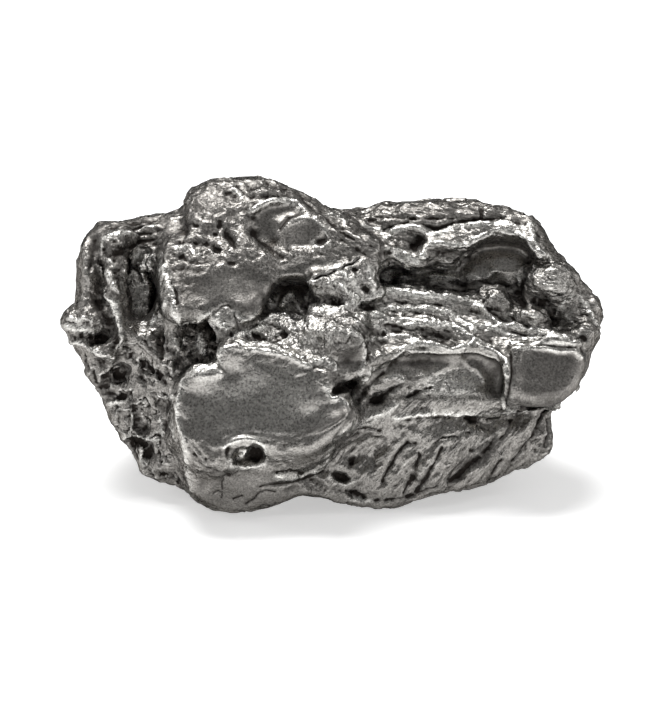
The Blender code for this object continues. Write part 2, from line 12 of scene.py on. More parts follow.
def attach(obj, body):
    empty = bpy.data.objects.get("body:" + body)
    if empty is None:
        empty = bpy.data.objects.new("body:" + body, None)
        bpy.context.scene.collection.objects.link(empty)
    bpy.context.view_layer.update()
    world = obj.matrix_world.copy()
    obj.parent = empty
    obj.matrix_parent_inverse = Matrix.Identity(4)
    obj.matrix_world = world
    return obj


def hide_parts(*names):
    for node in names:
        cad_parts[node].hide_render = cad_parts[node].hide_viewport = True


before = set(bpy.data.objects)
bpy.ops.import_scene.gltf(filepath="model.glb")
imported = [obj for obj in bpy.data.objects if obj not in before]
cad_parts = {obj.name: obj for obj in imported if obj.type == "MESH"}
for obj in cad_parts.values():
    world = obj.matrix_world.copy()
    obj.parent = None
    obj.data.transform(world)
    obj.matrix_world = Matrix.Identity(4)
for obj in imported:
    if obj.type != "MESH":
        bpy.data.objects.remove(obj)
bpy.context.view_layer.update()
MM = 0.001


# The camera. The photo looks at the stone's front from 20 degrees above the table, with a long lens.
# Places on the stone are given as this camera sees them: across, up and deep, in millimetres.

SIGHT_TILT = math.radians(20)
SIGHT_DISTANCE = 582.0
SIGHT_CENTRE_UP = 20.06
MIDDLE_HEIGHT = 24.0
DEPTH_SHIFT = 0.15

rise = SIGHT_CENTRE_UP - MIDDLE_HEIGHT * math.cos(SIGHT_TILT)
aim = Vector((
    0,
    rise * math.sin(SIGHT_TILT) - DEPTH_SHIFT,
    MIDDLE_HEIGHT + rise * math.cos(SIGHT_TILT),
)) * MM
towards_eye = Vector((0, -math.cos(SIGHT_TILT), math.sin(SIGHT_TILT)))
lens = bpy.data.cameras.new("camera")
lens.lens = 180
lens.sensor_width = 36
lens.clip_start = 0.01
lens.clip_end = 20
camera = bpy.data.objects.new("camera", lens)
camera.location = aim + towards_eye * SIGHT_DISTANCE * MM
camera.rotation_euler = (-towards_eye).to_track_quat("-Z", "Y").to_euler()
bpy.context.scene.collection.objects.link(camera)
bpy.context.scene.camera = camera


def as_seen(points):
    """Across, up and deep of points given in millimetres, with the lens's perspective."""
    x, y, z = points[:, 0], points[:, 1] + DEPTH_SHIFT, points[:, 2]
    up = z * math.cos(SIGHT_TILT) + y * math.sin(SIGHT_TILT)
    deep = y * math.cos(SIGHT_TILT) - (z - MIDDLE_HEIGHT) * math.sin(SIGHT_TILT)
    shrink = SIGHT_DISTANCE / (SIGHT_DISTANCE + deep)
    return x * shrink, SIGHT_CENTRE_UP + (up - SIGHT_CENTRE_UP) * shrink, deep


# The studio. A white table that fills the view, a wide soft light overhead and a little behind,
# and a dark room on the camera's side, which the flat faces of the iron mirror back as dark grey.

def linear(code):
    """An sRGB hex colour as the linear red, green, blue and alpha that a shader takes."""
    parts = [int(code[i : i + 2], 16) / 255 for i in (1, 3, 5)]
    return [c / 12.92 if c <= 0.04045 else ((c + 0.055) / 1.055) ** 2.4 for c in parts] + [1.0]


def add_node(tree, kind, settings=None, **links):
    """Adds a node. Settings are properties or input values; links go from a socket to an input."""
    node = tree.nodes.new(kind)
    for name, value in (settings or {}).items():
        if hasattr(node, str(name)):
            setattr(node, name, value)
        else:
            node.inputs[name].default_value = value
    for name, socket in links.items():
        index = int(name[1:]) if name[0] == "_" and name[1:].isdigit() else name.replace("_", " ")
        tree.links.new(socket, node.inputs[index])
    return node


TABLE_SIZE = 6.0
TABLE_GLOW = 0.45
table_mesh = bpy.data.meshes.new("table")
half = TABLE_SIZE / 2
table_corners = [(-half, -half, 0), (half, -half, 0), (half, half, 0), (-half, half, 0)]
table_mesh.from_pydata(table_corners, [], [(0, 1, 2, 3)])
table = bpy.data.objects.new("table", table_mesh)
bpy.context.scene.collection.objects.link(table)
paper = bpy.data.materials.new("matt white paper")
paper.use_nodes = True
# Matt and white, with a little light of its own, so the eye sees no edge between table and room.
coat = paper.node_tree.nodes["Principled BSDF"]
coat.inputs["Base Color"].default_value = linear("#f2f2f2")
coat.inputs["Roughness"].default_value = 0.9
coat.inputs["Specular IOR Level"].default_value = 0.1
coat.inputs["Emission Color"].default_value = linear("#ffffff")
coat.inputs["Emission Strength"].default_value = TABLE_GLOW
table_mesh.materials.append(paper)

room = bpy.data.worlds.new("studio")
bpy.context.scene.world = room
room.use_nodes = True
tree = room.node_tree
tree.nodes.clear()
facing = add_node(tree, "ShaderNodeTexCoord")
parts = add_node(tree, "ShaderNodeSeparateXYZ", _0=facing.outputs["Generated"])
height = add_node(tree, "ShaderNodeMapRange", {"From Min": -0.1, "From Max": 1.0}, Value=parts.outputs["Z"])
sky = add_node(tree, "ShaderNodeValToRGB", _0=height.outputs["Result"])
stops = sky.color_ramp.elements
stops[0].position, stops[0].color = 0.0, (0.34, 0.34, 0.34, 1)
stops[1].position, stops[1].color = 1.0, (0.55, 0.55, 0.55, 1)
middle = stops.new(0.40)
middle.color = (0.25, 0.25, 0.25, 1)
upper = stops.new(0.66)
upper.color = (0.26, 0.26, 0.26, 1)
rear = add_node(tree, "ShaderNodeMapRange",
                {"From Min": -0.3, "From Max": 0.7, "To Min": 0.80, "To Max": 1.25},
                Value=parts.outputs["Y"])
glow = add_node(tree, "ShaderNodeBackground", Color=sky.outputs["Color"], Strength=rear.outputs["Result"])
add_node(tree, "ShaderNodeOutputWorld", Surface=glow.outputs["Background"])


def soft_light(name, place, size, watts, aim_at=(0, 0, 0.02)):
    data = bpy.data.lights.new(name, "AREA")
    data.shape = "RECTANGLE"
    data.size, data.size_y = size
    data.energy = watts
    light = bpy.data.objects.new(name, data)
    light.location = place
    light.rotation_euler = (Vector(aim_at) - Vector(place)).to_track_quat("-Z", "Y").to_euler()
    bpy.context.scene.collection.objects.link(light)


soft_light("overhead", (-0.05, 0.14, 0.60), (0.34, 0.22), 0.78)
soft_light("right strip", (0.50, 0.00, 0.34), (0.06, 0.30), 0.45)
soft_light("left strip", (-0.50, 0.02, 0.30), (0.06, 0.26), 0.40)
SUN_ENERGY = 2.6
SUN_WIDTH = math.radians(32)
SUN_TURN = (math.radians(-16), math.radians(-8), 0)
sun_data = bpy.data.lights.new("sun", "SUN")
sun_data.energy = SUN_ENERGY
sun_data.angle = SUN_WIDTH
sun = bpy.data.objects.new("sun", sun_data)
sun.rotation_euler = SUN_TURN
bpy.context.scene.collection.objects.link(sun)
bpy.context.scene.view_settings.view_transform = "Standard"


# The stone: one lump of nickel-iron. Melting on its way through the air left smooth faces, ledges and
# thumbprints, the ground etched pits into it, and a wire brush has cleaned its ridges bright.
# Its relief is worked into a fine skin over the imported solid, in millimetres.

SKIN_STEP = 0.29
FACET_SOFTENING = 11


def mesh_arrays(mesh):
    """Points in millimetres and edges of a mesh."""
    points = np.empty(len(mesh.vertices) * 3)
    mesh.vertices.foreach_get("co", points)
    edges = np.empty(len(mesh.edges) * 2, int)
    mesh.edges.foreach_get("vertices", edges)
    return points.reshape(-1, 3) / MM, edges.reshape(-1, 2)


def put_points(mesh, points):
    mesh.vertices.foreach_set("co", (points * MM).ravel())
    mesh.update()


def normals_of(mesh):
    ways = np.empty(len(mesh.vertices) * 3)
    mesh.vertices.foreach_get("normal", ways)
    return ways.reshape(-1, 3)


def blurred(values, edges, times):
    """Values at the points, each time averaged with those of the neighbours."""
    count = len(values)
    flat = values.reshape(count, -1)
    share = np.bincount(edges.ravel(), minlength=count)[:, None]
    for _ in range(times):
        total = np.stack([
            np.bincount(edges[:, 0], flat[edges[:, 1], k], count)
            + np.bincount(edges[:, 1], flat[edges[:, 0], k], count)
            for k in range(flat.shape[1])
        ], 1)
        flat = 0.5 * flat + 0.5 * total / share
    return flat.reshape(values.shape)


def smooth_normals(mesh, edges):
    """The way that each place faces, without its fine relief."""
    ways = blurred(normals_of(mesh), edges, 6)
    return ways / np.linalg.norm(ways, axis=1)[:, None]


def mark(mesh, name, values):
    """Keeps a value at each point of the mesh, for the relief and the metal to read."""
    layer = mesh.attributes.new(name, "FLOAT", "POINT")
    layer.data.foreach_set("value", values.astype(np.float32))


def applied(piece):
    """Makes the mesh that the piece's modifiers give its own mesh."""
    graph = bpy.context.evaluated_depsgraph_get()
    graph.update()
    mesh = bpy.data.meshes.new_from_object(piece.evaluated_get(graph))
    piece.modifiers.clear()
    piece.data = mesh
    return mesh


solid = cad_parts["meteorite"]
stone = bpy.data.objects.new("meteorite_skin", solid.data.copy())
bpy.context.scene.collection.objects.link(stone)
weld = stone.modifiers.new("weld", "WELD")
weld.merge_threshold = 1e-6
skin = stone.modifiers.new("skin", "REMESH")
skin.mode = "VOXEL"
skin.voxel_size = SKIN_STEP * MM
mesh = applied(stone)
points, edges = mesh_arrays(mesh)
points = blurred(points, edges, FACET_SOFTENING)
put_points(mesh, points)

across, up, deep = as_seen(points)
facing_out = smooth_normals(mesh, edges)

# What the photo shows: the places nearest the eye in each cell of this width, and how far behind
# them a place still counts. Places above the last value carry the relief that was read off the photo.
SEEN_CELL = 0.5
SEEN_MARGIN = 1.8
SEEN = 0.3
cell = (np.floor(across / SEEN_CELL).astype(int) + 200) * 400 + np.floor(up / SEEN_CELL).astype(int) + 100
nearest = np.full(cell.max() + 1, 1e9)
np.minimum.at(nearest, cell, deep)
in_sight = np.clip(1 - (deep - nearest[cell] - SEEN_MARGIN) / 1.0, 0, 1)
in_sight *= np.clip((facing_out @ np.array(towards_eye) + 0.10) / 0.4, 0, 1)
in_sight = blurred(in_sight, edges, 5)


def spread(at, radii, turn=0):
    """The square of how far each place lies from the middle of a turned oval: 1 on its rim."""
    px, py = across - at[0], up - at[1]
    c, s = math.cos(math.radians(turn)), math.sin(math.radians(turn))
    return ((px * c + py * s) / radii[0]) ** 2 + ((py * c - px * s) / radii[1]) ** 2


# Floors of the deep gap beside the brow and of the wedge that closes its top: centre, two radii,
# and how far the floor lies behind the rim. The lift also pulls some places of the back, behind the
# gap, towards the front. They show as a narrow slit there, which is a fault.
GAP_FLOORS = [((-32.1, 29.2), (2.3, 5.6), 2.5), ((-31.0, 35.4), (2.6, 2.3), 0.4)]
front = np.clip((facing_out @ np.array(towards_eye) + 0.45) / 0.3, 0, 1)
lift = np.zeros(len(points))
for at, radii, depth in GAP_FLOORS:
    far = spread(at, radii)
    rim = (far > 0.9) & (far < 1.7) & (in_sight > 0.5)
    floor = np.median(deep[rim]) + depth
    behind = np.clip(deep - floor, 0, 18) * (deep < floor + 18)
    lift = np.maximum(lift, 0.85 * behind * front * np.clip((1.4 - far) / 0.6, 0, 1))
in_sight = np.maximum(in_sight, np.clip(lift, 0, 1))
points = points + np.array(towards_eye) * lift[:, None]
put_points(mesh, points)
facing_out = smooth_normals(mesh, edges)

relief = np.zeros(len(points))
polish_and_painted_highlight = np.zeros(len(points))
groove_oxide_and_shade = np.zeros(len(points))


def stroke(path, width, height):
    """A crest along a path of (across, up), or a groove where its height is negative."""
    path = np.array(path, float)
    low, high = path.min(0) - 3 * width, path.max(0) + 3 * width
    near = np.flatnonzero(
        (across > low[0]) & (across < high[0]) & (up > low[1]) & (up < high[1]) & (in_sight > 0))
    apart = np.full(len(near), 1e9)
    for (ax, ay), (bx, by) in zip(path, path[1:]):
        ex, ey = bx - ax, by - ay
        px, py = across[near] - ax, up[near] - ay
        along = np.clip((px * ex + py * ey) / (ex * ex + ey * ey), 0, 1)
        apart = np.minimum(apart, (px - along * ex) ** 2 + (py - along * ey) ** 2)
    worked = np.exp(-apart / width**2) * in_sight[near]
    relief[near] += 0.85 * height * worked
    # Narrow crests are marked to be lightened in the metal's colour, as brushed polish and as a painted
    # highlight along them.
    if height > 0 and width < 0.65:
        polish_and_painted_highlight[near] = np.maximum(polish_and_painted_highlight[near], worked**1.2 * min(1, height / 0.4))
    # Narrow grooves are marked to be darkened in the metal's colour, as oxide and as painted shade.
    if height < 0 and width < 0.85:
        groove_oxide_and_shade[near] = np.maximum(groove_oxide_and_shade[near], worked * min(1, -height / 0.6))


def dent(at, radii, turn, depth):
    """A pit with a flat floor, or a mound where its depth is negative."""
    far = spread(at, radii, turn)
    near = (far < 4) & (in_sight > 0)
    worked = np.exp(-far[near] ** 1.5) * in_sight[near]
    relief[near] -= depth * worked
    # Small pits are marked the same way: darkened as oxide and as painted shade.
    if 0 < depth and radii[0] * radii[1] < 3:
        groove_oxide_and_shade[near] = np.maximum(groove_oxide_and_shade[near], worked * min(1, depth / 0.7))


def swell(at, radii, turn, height):
    """A broad gentle rise, or a sinking where its height is negative."""
    far = spread(at, radii, turn)
    relief[:] += height * np.exp(-far) * in_sight


# The brow: the high mass on the left, with a recessed facet, an arch over it and a sharp lip below.
# It is the same iron, melted smooth in front and etched rough above.

BROW_STROKES = [
    ([(-24.8, 41.2), (-23.2, 41.3), (-22.5, 40.8)], 0.35, -0.5),
    ([(-25.6, 38.5), (-25.5, 41), (-25.4, 44)], 0.9, -1.1),
    ([(-18.5, 41), (-16.5, 41.5), (-14.8, 39), (-12.5, 37), (-10, 35.2), (-8, 34.7),
      (-6.8, 35.4)], 0.9, 0.3),
    ([(-13.2, 39.8), (-12, 38.8), (-10.8, 38), (-9.3, 36.6), (-8.5, 35.6), (-7.6, 35.2)], 0.35, -0.35),
    ([(-7.2, 42.2), (-8.2, 41), (-8.6, 40.6)], 0.35, -0.5),
    ([(-8.3, 40.6), (-7.2, 41.6), (-5, 41.9), (-3.3, 41.7), (-1.7, 40.6), (-0.8, 39.4)], 0.4, 0.25),
    ([(-3.2, 38), (-2, 37.2), (-0.7, 37.8)], 0.4, 0.3),
    ([(-13.5, 43.3), (-12, 44.4), (-10, 45), (-8, 45.1), (-6, 44.6), (-4.8, 43.6)], 0.6, 0.55),
    ([(-14.5, 43.2), (-13, 44.5), (-11, 45.4), (-8.5, 45.8), (-6, 45.6), (-4, 44.6), (-2, 43)], 0.4, -0.25),
    ([(-4.8, 45.5), (-3, 44), (-1, 42), (1, 40.3), (3.5, 38.5)], 0.35, -0.4),
    ([(-3.2, 45.2), (-1, 43.3), (1, 41.6), (4, 39.5)], 0.35, -0.35),
    ([(-1.7, 43.4), (-0.5, 42), (0.8, 41), (1.8, 40.7)], 0.4, -0.5),
    ([(-0.8, 43), (1, 42.6), (2.2, 41.4)], 0.4, 0.3),
    ([(-16, 47.6), (-15, 46.5), (-13.5, 45.7), (-10, 45.9), (-6, 46.3), (-3.5, 45.6)], 0.35, -0.45),
    ([(-11, 48.2), (-9, 47.3), (-6, 46.9), (-3, 45.9)], 0.35, -0.4),
    ([(-16.5, 47), (-15.2, 46)], 0.5, 0.35),
    ([(-17.5, 46.5), (-16, 46), (-15, 46)], 0.4, -0.4),
    ([(-26, 38.6), (-23, 38.2), (-20.5, 37.6), (-19, 37)], 0.5, -0.4),
    ([(-26, 37.2), (-23.5, 37), (-22, 36)], 0.5, 0.35),
    ([(-26.5, 36), (-25, 35.8), (-24.3, 35)], 0.4, -0.35),
    ([(-23.5, 34.8), (-21.5, 34.6), (-20.5, 35), (-18, 35), (-16.3, 34.5)], 0.5, -0.4),
    ([(-24, 32.2), (-22, 32.6), (-20.5, 33.6), (-18.5, 34.3), (-16.5, 33.8)], 0.9, 0.2),
    ([(-26.3, 33.4), (-24.5, 33.5), (-22.5, 32.8), (-21.5, 33.2)], 0.5, -0.3),
    ([(-28, 34), (-27.3, 31.3), (-26.5, 30), (-26.2, 28.5), (-26.2, 26.5), (-25.2, 25.3)], 0.6, 0.4),
    ([(-26.8, 31.2), (-26, 30), (-25.8, 28.5), (-26.1, 27.3)], 0.3, -0.5),
    ([(-25.3, 25.2), (-23.5, 25.6), (-21.8, 26.1), (-20.3, 26.8)], 0.35, 0.35),
    ([(-20.2, 26.8), (-19.2, 26.6), (-18.3, 27.5), (-17.2, 27.7), (-16.6, 26.8)], 0.35, -0.3),
    ([(-16.4, 26.6), (-15, 25.6), (-14, 25.5), (-12.5, 27), (-11.2, 28.5), (-10.3, 30), (-9.2, 31.6),
      (-8, 31.6), (-5, 31.9), (-3, 31.8)], 0.35, 0.45),
    ([(-8.5, 33.3), (-5, 33.4), (-2, 33.9), (1, 34.8), (4, 35.6)], 0.9, -0.3),
    ([(-3, 31.9), (-1.8, 32.6), (-0.6, 32.7), (0.2, 33.3), (1.2, 33.4), (2, 34.1), (3.2, 34.6),
      (4.5, 35.3)], 0.22, -0.7),
]
BROW_DENTS = [
    ((-24.7, 40.2), (0.8, 1.0), 0, 0.8), ((-18.7, 41), (0.5, 0.9), 0, 0.6),
    ((-19.5, 39.4), (0.5, 0.4), 0, 0.4), ((-17, 38.8), (1.7, 0.6), -60, 0.9),
    ((-9.5, 42.3), (4.0, 2.2), 15, 0.6), ((-10.5, 39.5), (3.0, 2.0), -50, 0.5),
    ((-1.9, 38.3), (1.1, 0.7), 20, 0.35), ((-4, 36.8), (2.5, 0.8), 5, -0.4),
    ((-13.3, 47.1), (1.0, 0.6), 0, 0.6), ((-12, 46.8), (1.6, 0.8), -10, -0.4),
    ((-22.2, 44), (1.4, 1.0), 30, 0.25), ((-13.3, 42.2), (1.0, 0.7), -30, 0.5),
    ((-13, 39.8), (0.9, 0.8), 0, 0.5),
]

# The prow and the hump beside it: facets that the brush left bright, round two small dark hollows,
# over a smooth dark flank that was melted even.

PROW_STROKES = [
    ([(-3, 26.5), (-1, 26.9), (1, 27), (2.6, 27.6), (4, 29)], 0.45, 0.4),
    ([(0.2, 31.8), (1.8, 30.5), (3.5, 29.2), (4.8, 28.7)], 0.45, 0.4),
    ([(1, 33), (2.8, 31.5), (5, 29.8)], 0.4, 0.3),
    ([(0, 32.3), (1.3, 31), (3, 29.8)], 0.3, -0.35),
    ([(3.5, 33.5), (4.5, 31.5), (6, 29.5)], 0.35, -0.35),
    ([(5.5, 34), (6, 31.5), (6.5, 29.5)], 0.4, 0.3),
    ([(3.6, 27.2), (4.3, 28.2), (5.6, 28.3)], 0.35, 0.3),
    ([(3.8, 26.2), (6, 25.9), (8, 26)], 0.35, 0.3),
    ([(-3.3, 31.5), (-3.6, 29), (-4.2, 27), (-4.8, 25.4)], 0.3, 0.35),
    ([(-4, 25.6), (-3, 25.9), (-1.9, 25.8)], 0.3, -0.5),
    ([(-4.5, 21.5), (-2, 23), (0, 23), (2, 22.3)], 0.7, 0.4),
    ([(2.5, 22.6), (4.5, 21.8), (5.6, 20.2), (5.3, 18), (4.5, 16.5)], 0.4, 0.3),
    ([(5, 22.5), (6.2, 20.5), (6.3, 18.7)], 0.5, -0.5),
    ([(4, 24.6), (7, 24.2), (9, 23.4)], 0.4, 0.3),
]
PROW_DENTS = [
    ((-1.5, 30.8), (1.8, 1.8), 0, -0.4), ((0.4, 28.3), (1.9, 0.9), -5, 0.45),
    ((6, 27.1), (2.2, 0.6), -12, 0.35), ((1.5, 21), (3.5, 2.6), 0, -0.4),
    ((-8.5, 22.6), (1.4, 0.6), 0, 0.5), ((2.5, 19), (2.2, 1.8), 0, 0.25),
]

# The plate: the large smooth face nearest the eye, with a bright crest along its top and a hooked
# pit at its right end. A strap runs under it, and the nose below turns down to the table.

PLATE_STROKES = [
    ([(-18.3, 18.3), (-18, 19.5), (-17.2, 20), (-15.5, 20.4), (-12.5, 20.2), (-9.5, 19.7), (-7, 19),
      (-5, 18), (-3.6, 17.6)], 0.35, 0.5),
    ([(-15.8, 21), (-12.5, 21.4), (-9.5, 20.8), (-7, 19.8), (-5, 19)], 0.4, 0.4),
    ([(-15, 20.7), (-12, 20.8), (-9, 20.2), (-6, 19.1)], 0.25, -0.25),
    ([(-3, 18.5), (-1.5, 18.6), (0.4, 17.9), (0.6, 17.2)], 0.5, 0.5),
    ([(-3.3, 17.4), (-2, 17.5), (-0.5, 17.2)], 0.35, -0.2),
    ([(-6, 15.5), (-4.6, 15.9)], 0.35, -0.2),
    ([(-1.2, 14.2), (-0.9, 13), (0, 12), (1.5, 11.6), (2.4, 11.3), (3.2, 11.8), (3.6, 13.5), (4.6, 15.2),
      (6, 16.6)], 0.35, 0.45),
    ([(-0.3, 13.3), (0.5, 12.4), (2, 12.3), (2.8, 13.2), (3.6, 14.6), (4.3, 15.8)], 0.3, 0.3),
    ([(4, 15), (6, 16.8), (8, 18), (10, 19.6), (12, 20.6)], 0.7, 0.5),
    ([(-22.5, 16.5), (-21, 17), (-19.5, 16.9), (-18.5, 16.2)], 0.4, 0.3),
    ([(-24.6, 15), (-25.6, 12), (-25.8, 9), (-24.8, 6), (-24.3, 3), (-24, 0), (-23.5, -3)], 0.5, 0.3),
    ([(-21.5, 4.5), (-20, 3), (-18.5, 3.6), (-17.5, 5.5), (-15, 6.3), (-12, 6.2), (-9, 5.7), (-6.5, 5.6),
      (-4, 6.6), (-1, 8), (1.5, 9.2)], 0.7, -0.35),
    ([(-10, 2.8), (-7, 3), (-4, 3.6), (-1.5, 5.2), (0.5, 7), (2.5, 9)], 1.0, 0.4),
    ([(-16.7, 2.2), (-15, 3), (-14, 4)], 0.5, 0.5),
    ([(-18, 4.2), (-16.5, 5.2), (-14.5, 5.7), (-12.7, 5.3), (-11.5, 4), (-10.8, 2.5)], 0.5, 0.4),
    ([(-16.8, 1), (-14, 0.9), (-11.5, 1.3)], 0.5, 0.3),
    ([(-24, 4), (-22.5, 2), (-21, 0.6), (-18.5, -0.3), (-17, 0)], 0.3, -0.3),
    ([(-23.2, 4.8), (-22, 3), (-20.5, 1.5)], 0.3, -0.25),
    ([(-22.5, -0.2), (-20, -0.5), (-18, -0.3)], 0.25, -0.35),
    ([(-18, -1), (-18.4, -2), (-18.2, -3)], 0.22, -0.3),
    ([(-19.7, -3.7), (-19, -3.3), (-18.3, -3.6), (-18.4, -4.3)], 0.22, -0.3),
    ([(-9, -0.2), (-7, 0), (-5.5, -0.2), (-5, -0.5)], 0.3, -0.7),
    ([(-9.2, -0.9), (-7, -1), (-5, -0.9), (-3, 0), (-1.5, 1.2), (-0.3, 3), (0.3, 5)], 0.5, 0.45),
    ([(-12, -2.6), (-9, -2), (-6.5, -1.8), (-4.5, -1.2), (-2.8, -0.3), (-1.5, 0.2)], 0.3, -0.4),
    ([(-9.1, -0.3), (-9.2, -1.2)], 0.22, -0.3),
    ([(-16.5, -4.6), (-15, -4.1)], 0.25, -0.35),
    ([(-14.3, -5.4), (-13, -4.6), (-12.3, -3.7), (-11, -3.2), (-9.5, -3.4)], 0.25, -0.35),
    ([(-11.5, -5.7), (-10, -5.8), (-9.5, -5.4)], 0.25, -0.35),
]
PLATE_DENTS = [
    ((0.9, 13.6), (1.5, 0.7), 40, 1.0), ((0.8, 15.3), (2.0, 1.1), -60, 0.8),
    ((-20.6, 16.1), (2.2, 0.7), 5, -0.35), ((-17, 16.5), (1.5, 1.2), 0, 0.3),
    ((-8.3, 4.3), (1.1, 0.8), 0, 0.35), ((-17.2, 3.2), (0.5, 0.9), 0, 0.8),
    ((-12.7, 3), (1.4, 1.6), 0, 0.7), ((-17.2, -0.7), (0.6, 0.4), 0, 0.5),
    ((-21.5, -2.5), (0.8, 1.2), 0, 0.3), ((-3, -2.2), (2.6, 1.2), -20, 0.7),
    ((-6.5, -3), (1.5, 0.6), 15, 0.5), ((-23, 13), (1.3, 1.3), 0, 0.25),
]

# The lower band: the long face that turns down to the table, scored by slanting streaks,
# with a smooth hollow along its top edge and black holes along a ledge.

BAND_STROKES = [
    ([(4.6, 15.8), (6.3, 17), (8.6, 17.4), (10, 18.8), (12, 20.6), (14, 21.2), (17, 20.8), (19.5, 20.2),
      (21.5, 20.6), (23.2, 21.6), (25, 20.8), (27.5, 19.6), (28.9, 18.4), (29, 16)], 0.4, 0.5),
    ([(12.5, 20), (16, 19.9), (19.5, 19.5), (21.5, 19.7), (24, 19.6), (27, 18.9), (28.2, 17.6)], 0.3, 0.3),
    ([(7, 16.8), (10, 18.2), (14, 18.2), (18, 18.5), (20.5, 19.3), (24, 19), (27, 17.5), (27.7, 15.5),
      (27, 13.3)], 1.0, -0.6),
    ([(12, 14.8), (15, 16), (18, 17.2), (20.5, 18), (21.3, 18.7), (22.5, 18), (24, 17.2),
      (25, 15.5)], 0.7, 0.5),
    ([(13.5, 13.3), (15, 13.6), (17, 14.2)], 0.25, -0.3),
    ([(8.5, 15.5), (10, 16), (11.5, 15.6)], 0.4, 0.3),
    ([(18.8, 15), (19.5, 13.5)], 0.25, -0.3),
    ([(20, 16.8), (20.3, 15.3)], 0.25, -0.1),
    ([(10.5, 9), (13, 9.2), (16, 9.6), (20, 9.7), (24, 9.5), (27, 9.8), (29, 10.2), (33, 10.6),
      (36.5, 11.2)], 0.5, 0.4),
    ([(12, 8.6), (16, 9), (20, 9), (22, 8.9)], 0.3, -0.3),
    ([(4.5, 8), (6, 8.3), (7.5, 9.1)], 0.25, -0.4),
    ([(12.3, 5), (10.5, 2.8), (9, 0), (8.3, -1.5)], 0.35, -0.6),
    ([(13.8, 4.7), (12.2, 4.8)], 0.3, -0.4),
    ([(14.5, 2.8), (13.7, 0.8)], 0.3, -0.45),
    ([(18.2, 4), (17, 1.5), (15.8, -0.5), (14.5, -2.5), (14, -3.5)], 0.35, -0.6),
    ([(20.8, 5.8), (18.3, 5.8), (17, 5)], 0.3, -0.4),
    ([(22.8, 6.6), (21, 6.4), (19.5, 5.8)], 0.25, -0.3),
    ([(26.5, 4.8), (24.5, 2.6), (22.5, 1.2), (21, -0.7), (19.5, -1.4)], 0.7, -0.7),
    ([(24.5, 2.4), (22, 0), (20.7, -1)], 0.4, -0.5),
    ([(25.8, 5.2), (24.5, 4.2), (23, 3.5)], 0.3, -0.35),
    ([(13.4, -0.9), (12.3, -2.6), (11.8, -3.6)], 0.3, -0.5),
    ([(11.5, -1), (10.5, -2.3)], 0.25, -0.3),
    ([(17.2, -2.6), (15.5, -3), (14, -4), (12.5, -4.2)], 0.3, -0.5),
    ([(29.5, 8.5), (28.7, 6.5), (27.8, 5.5)], 0.4, -0.4),
    ([(34.7, 9.3), (34, 7.8), (33.2, 5.8), (31.5, 3.8), (29.8, 1.8)], 0.3, -0.5),
    ([(36.5, 9.8), (36.9, 7.5), (37, 6)], 0.25, -0.4),
    ([(35.6, 8.8), (35.8, 6.5), (35.2, 4.2)], 0.35, -0.6),
    ([(34.5, 5.5), (33, 5), (31.8, 3.5)], 0.25, -0.3),
    ([(36.8, 3.6), (34.8, 3.4), (34.2, 2.6)], 0.25, -0.3),
    ([(28, 2), (27, 0), (26, -1.5)], 0.3, -0.4),
    ([(25.7, -1.8), (27.2, -1)], 0.25, -0.4),
    ([(10, 4.5), (8, 1), (6.8, -1)], 0.8, 0.4),
    ([(13, 3), (11, -1), (10, -3)], 0.8, 0.35),
    ([(16.3, 3), (14.3, -0.8)], 0.7, 0.35),
    ([(20.5, 4), (18, 0), (16.5, -2)], 0.8, 0.4),
    ([(26, 2), (24, -1)], 0.8, 0.4),
    ([(32.5, 8), (30, 4.5), (28.5, 2.5)], 0.8, 0.4),
    ([(-0.5, -0.6), (0.5, -1.8), (2, -2.1), (3.5, -1.6)], 0.4, 0.35),
    ([(3, -4.6), (5, -5), (6.5, -4.8)], 0.3, 0.35),
    ([(6.5, -4.9), (9, -4.8), (11, -4.4), (12.5, -4.2)], 0.3, -0.4),
    ([(0, -3), (2, -3.3), (3.5, -3.7)], 0.4, -0.4),
    ([(0.3, 5.2), (2, 6.3), (4.5, 6.9), (6, 7.3), (8, 6.8)], 0.3, -0.4),
    ([(1.5, 6.2), (3.5, 7.6), (6, 8.6), (9, 10), (10.5, 11)], 0.6, 0.3),
    ([(0.8, 4.7), (3, 5.5), (5.5, 6.6)], 0.35, -0.35),
    ([(-0.2, 3.5), (0.6, 6), (2.6, 8.5), (3.8, 10.8), (5, 13), (6.5, 14.8), (8.5, 16.3)], 0.35, -0.3),
]
BAND_DENTS = [
    ((7.2, 11.9), (1.3, 0.8), 20, 0.8), ((9.8, 13.6), (1.6, 0.4), 30, 0.7),
    ((11.3, 14.3), (0.9, 0.3), 35, 0.4), ((13.2, 12.8), (1.2, 0.4), 30, 0.7),
    ((15.7, 16.8), (0.5, 0.8), 0, 0.15), ((23, 8.7), (1.1, 0.55), -15, 1.4),
    ((27.3, 9.3), (1.6, 0.3), 12, 0.9), ((35.2, 10.2), (0.9, 0.35), 30, 0.8),
    ((29, 6.9), (2.2, 1.3), -20, -0.5), ((4.6, 3.2), (2.8, 2.2), 25, 0.6),
    ((3.2, 1.8), (1.0, 0.6), 20, 0.4), ((5.5, 5.5), (1.5, 0.6), 45, 0.4),
    ((1.4, -0.9), (1.5, 0.7), -25, 0.9), ((4.2, -4.2), (1.8, 0.7), -25, 1.0),
    ((11, 7.6), (1.0, 0.4), 10, 0.3),
]

# The tongue: the smooth slab at the right, under a double edge that the brush left bright. A groove
# parts it from the lower band.

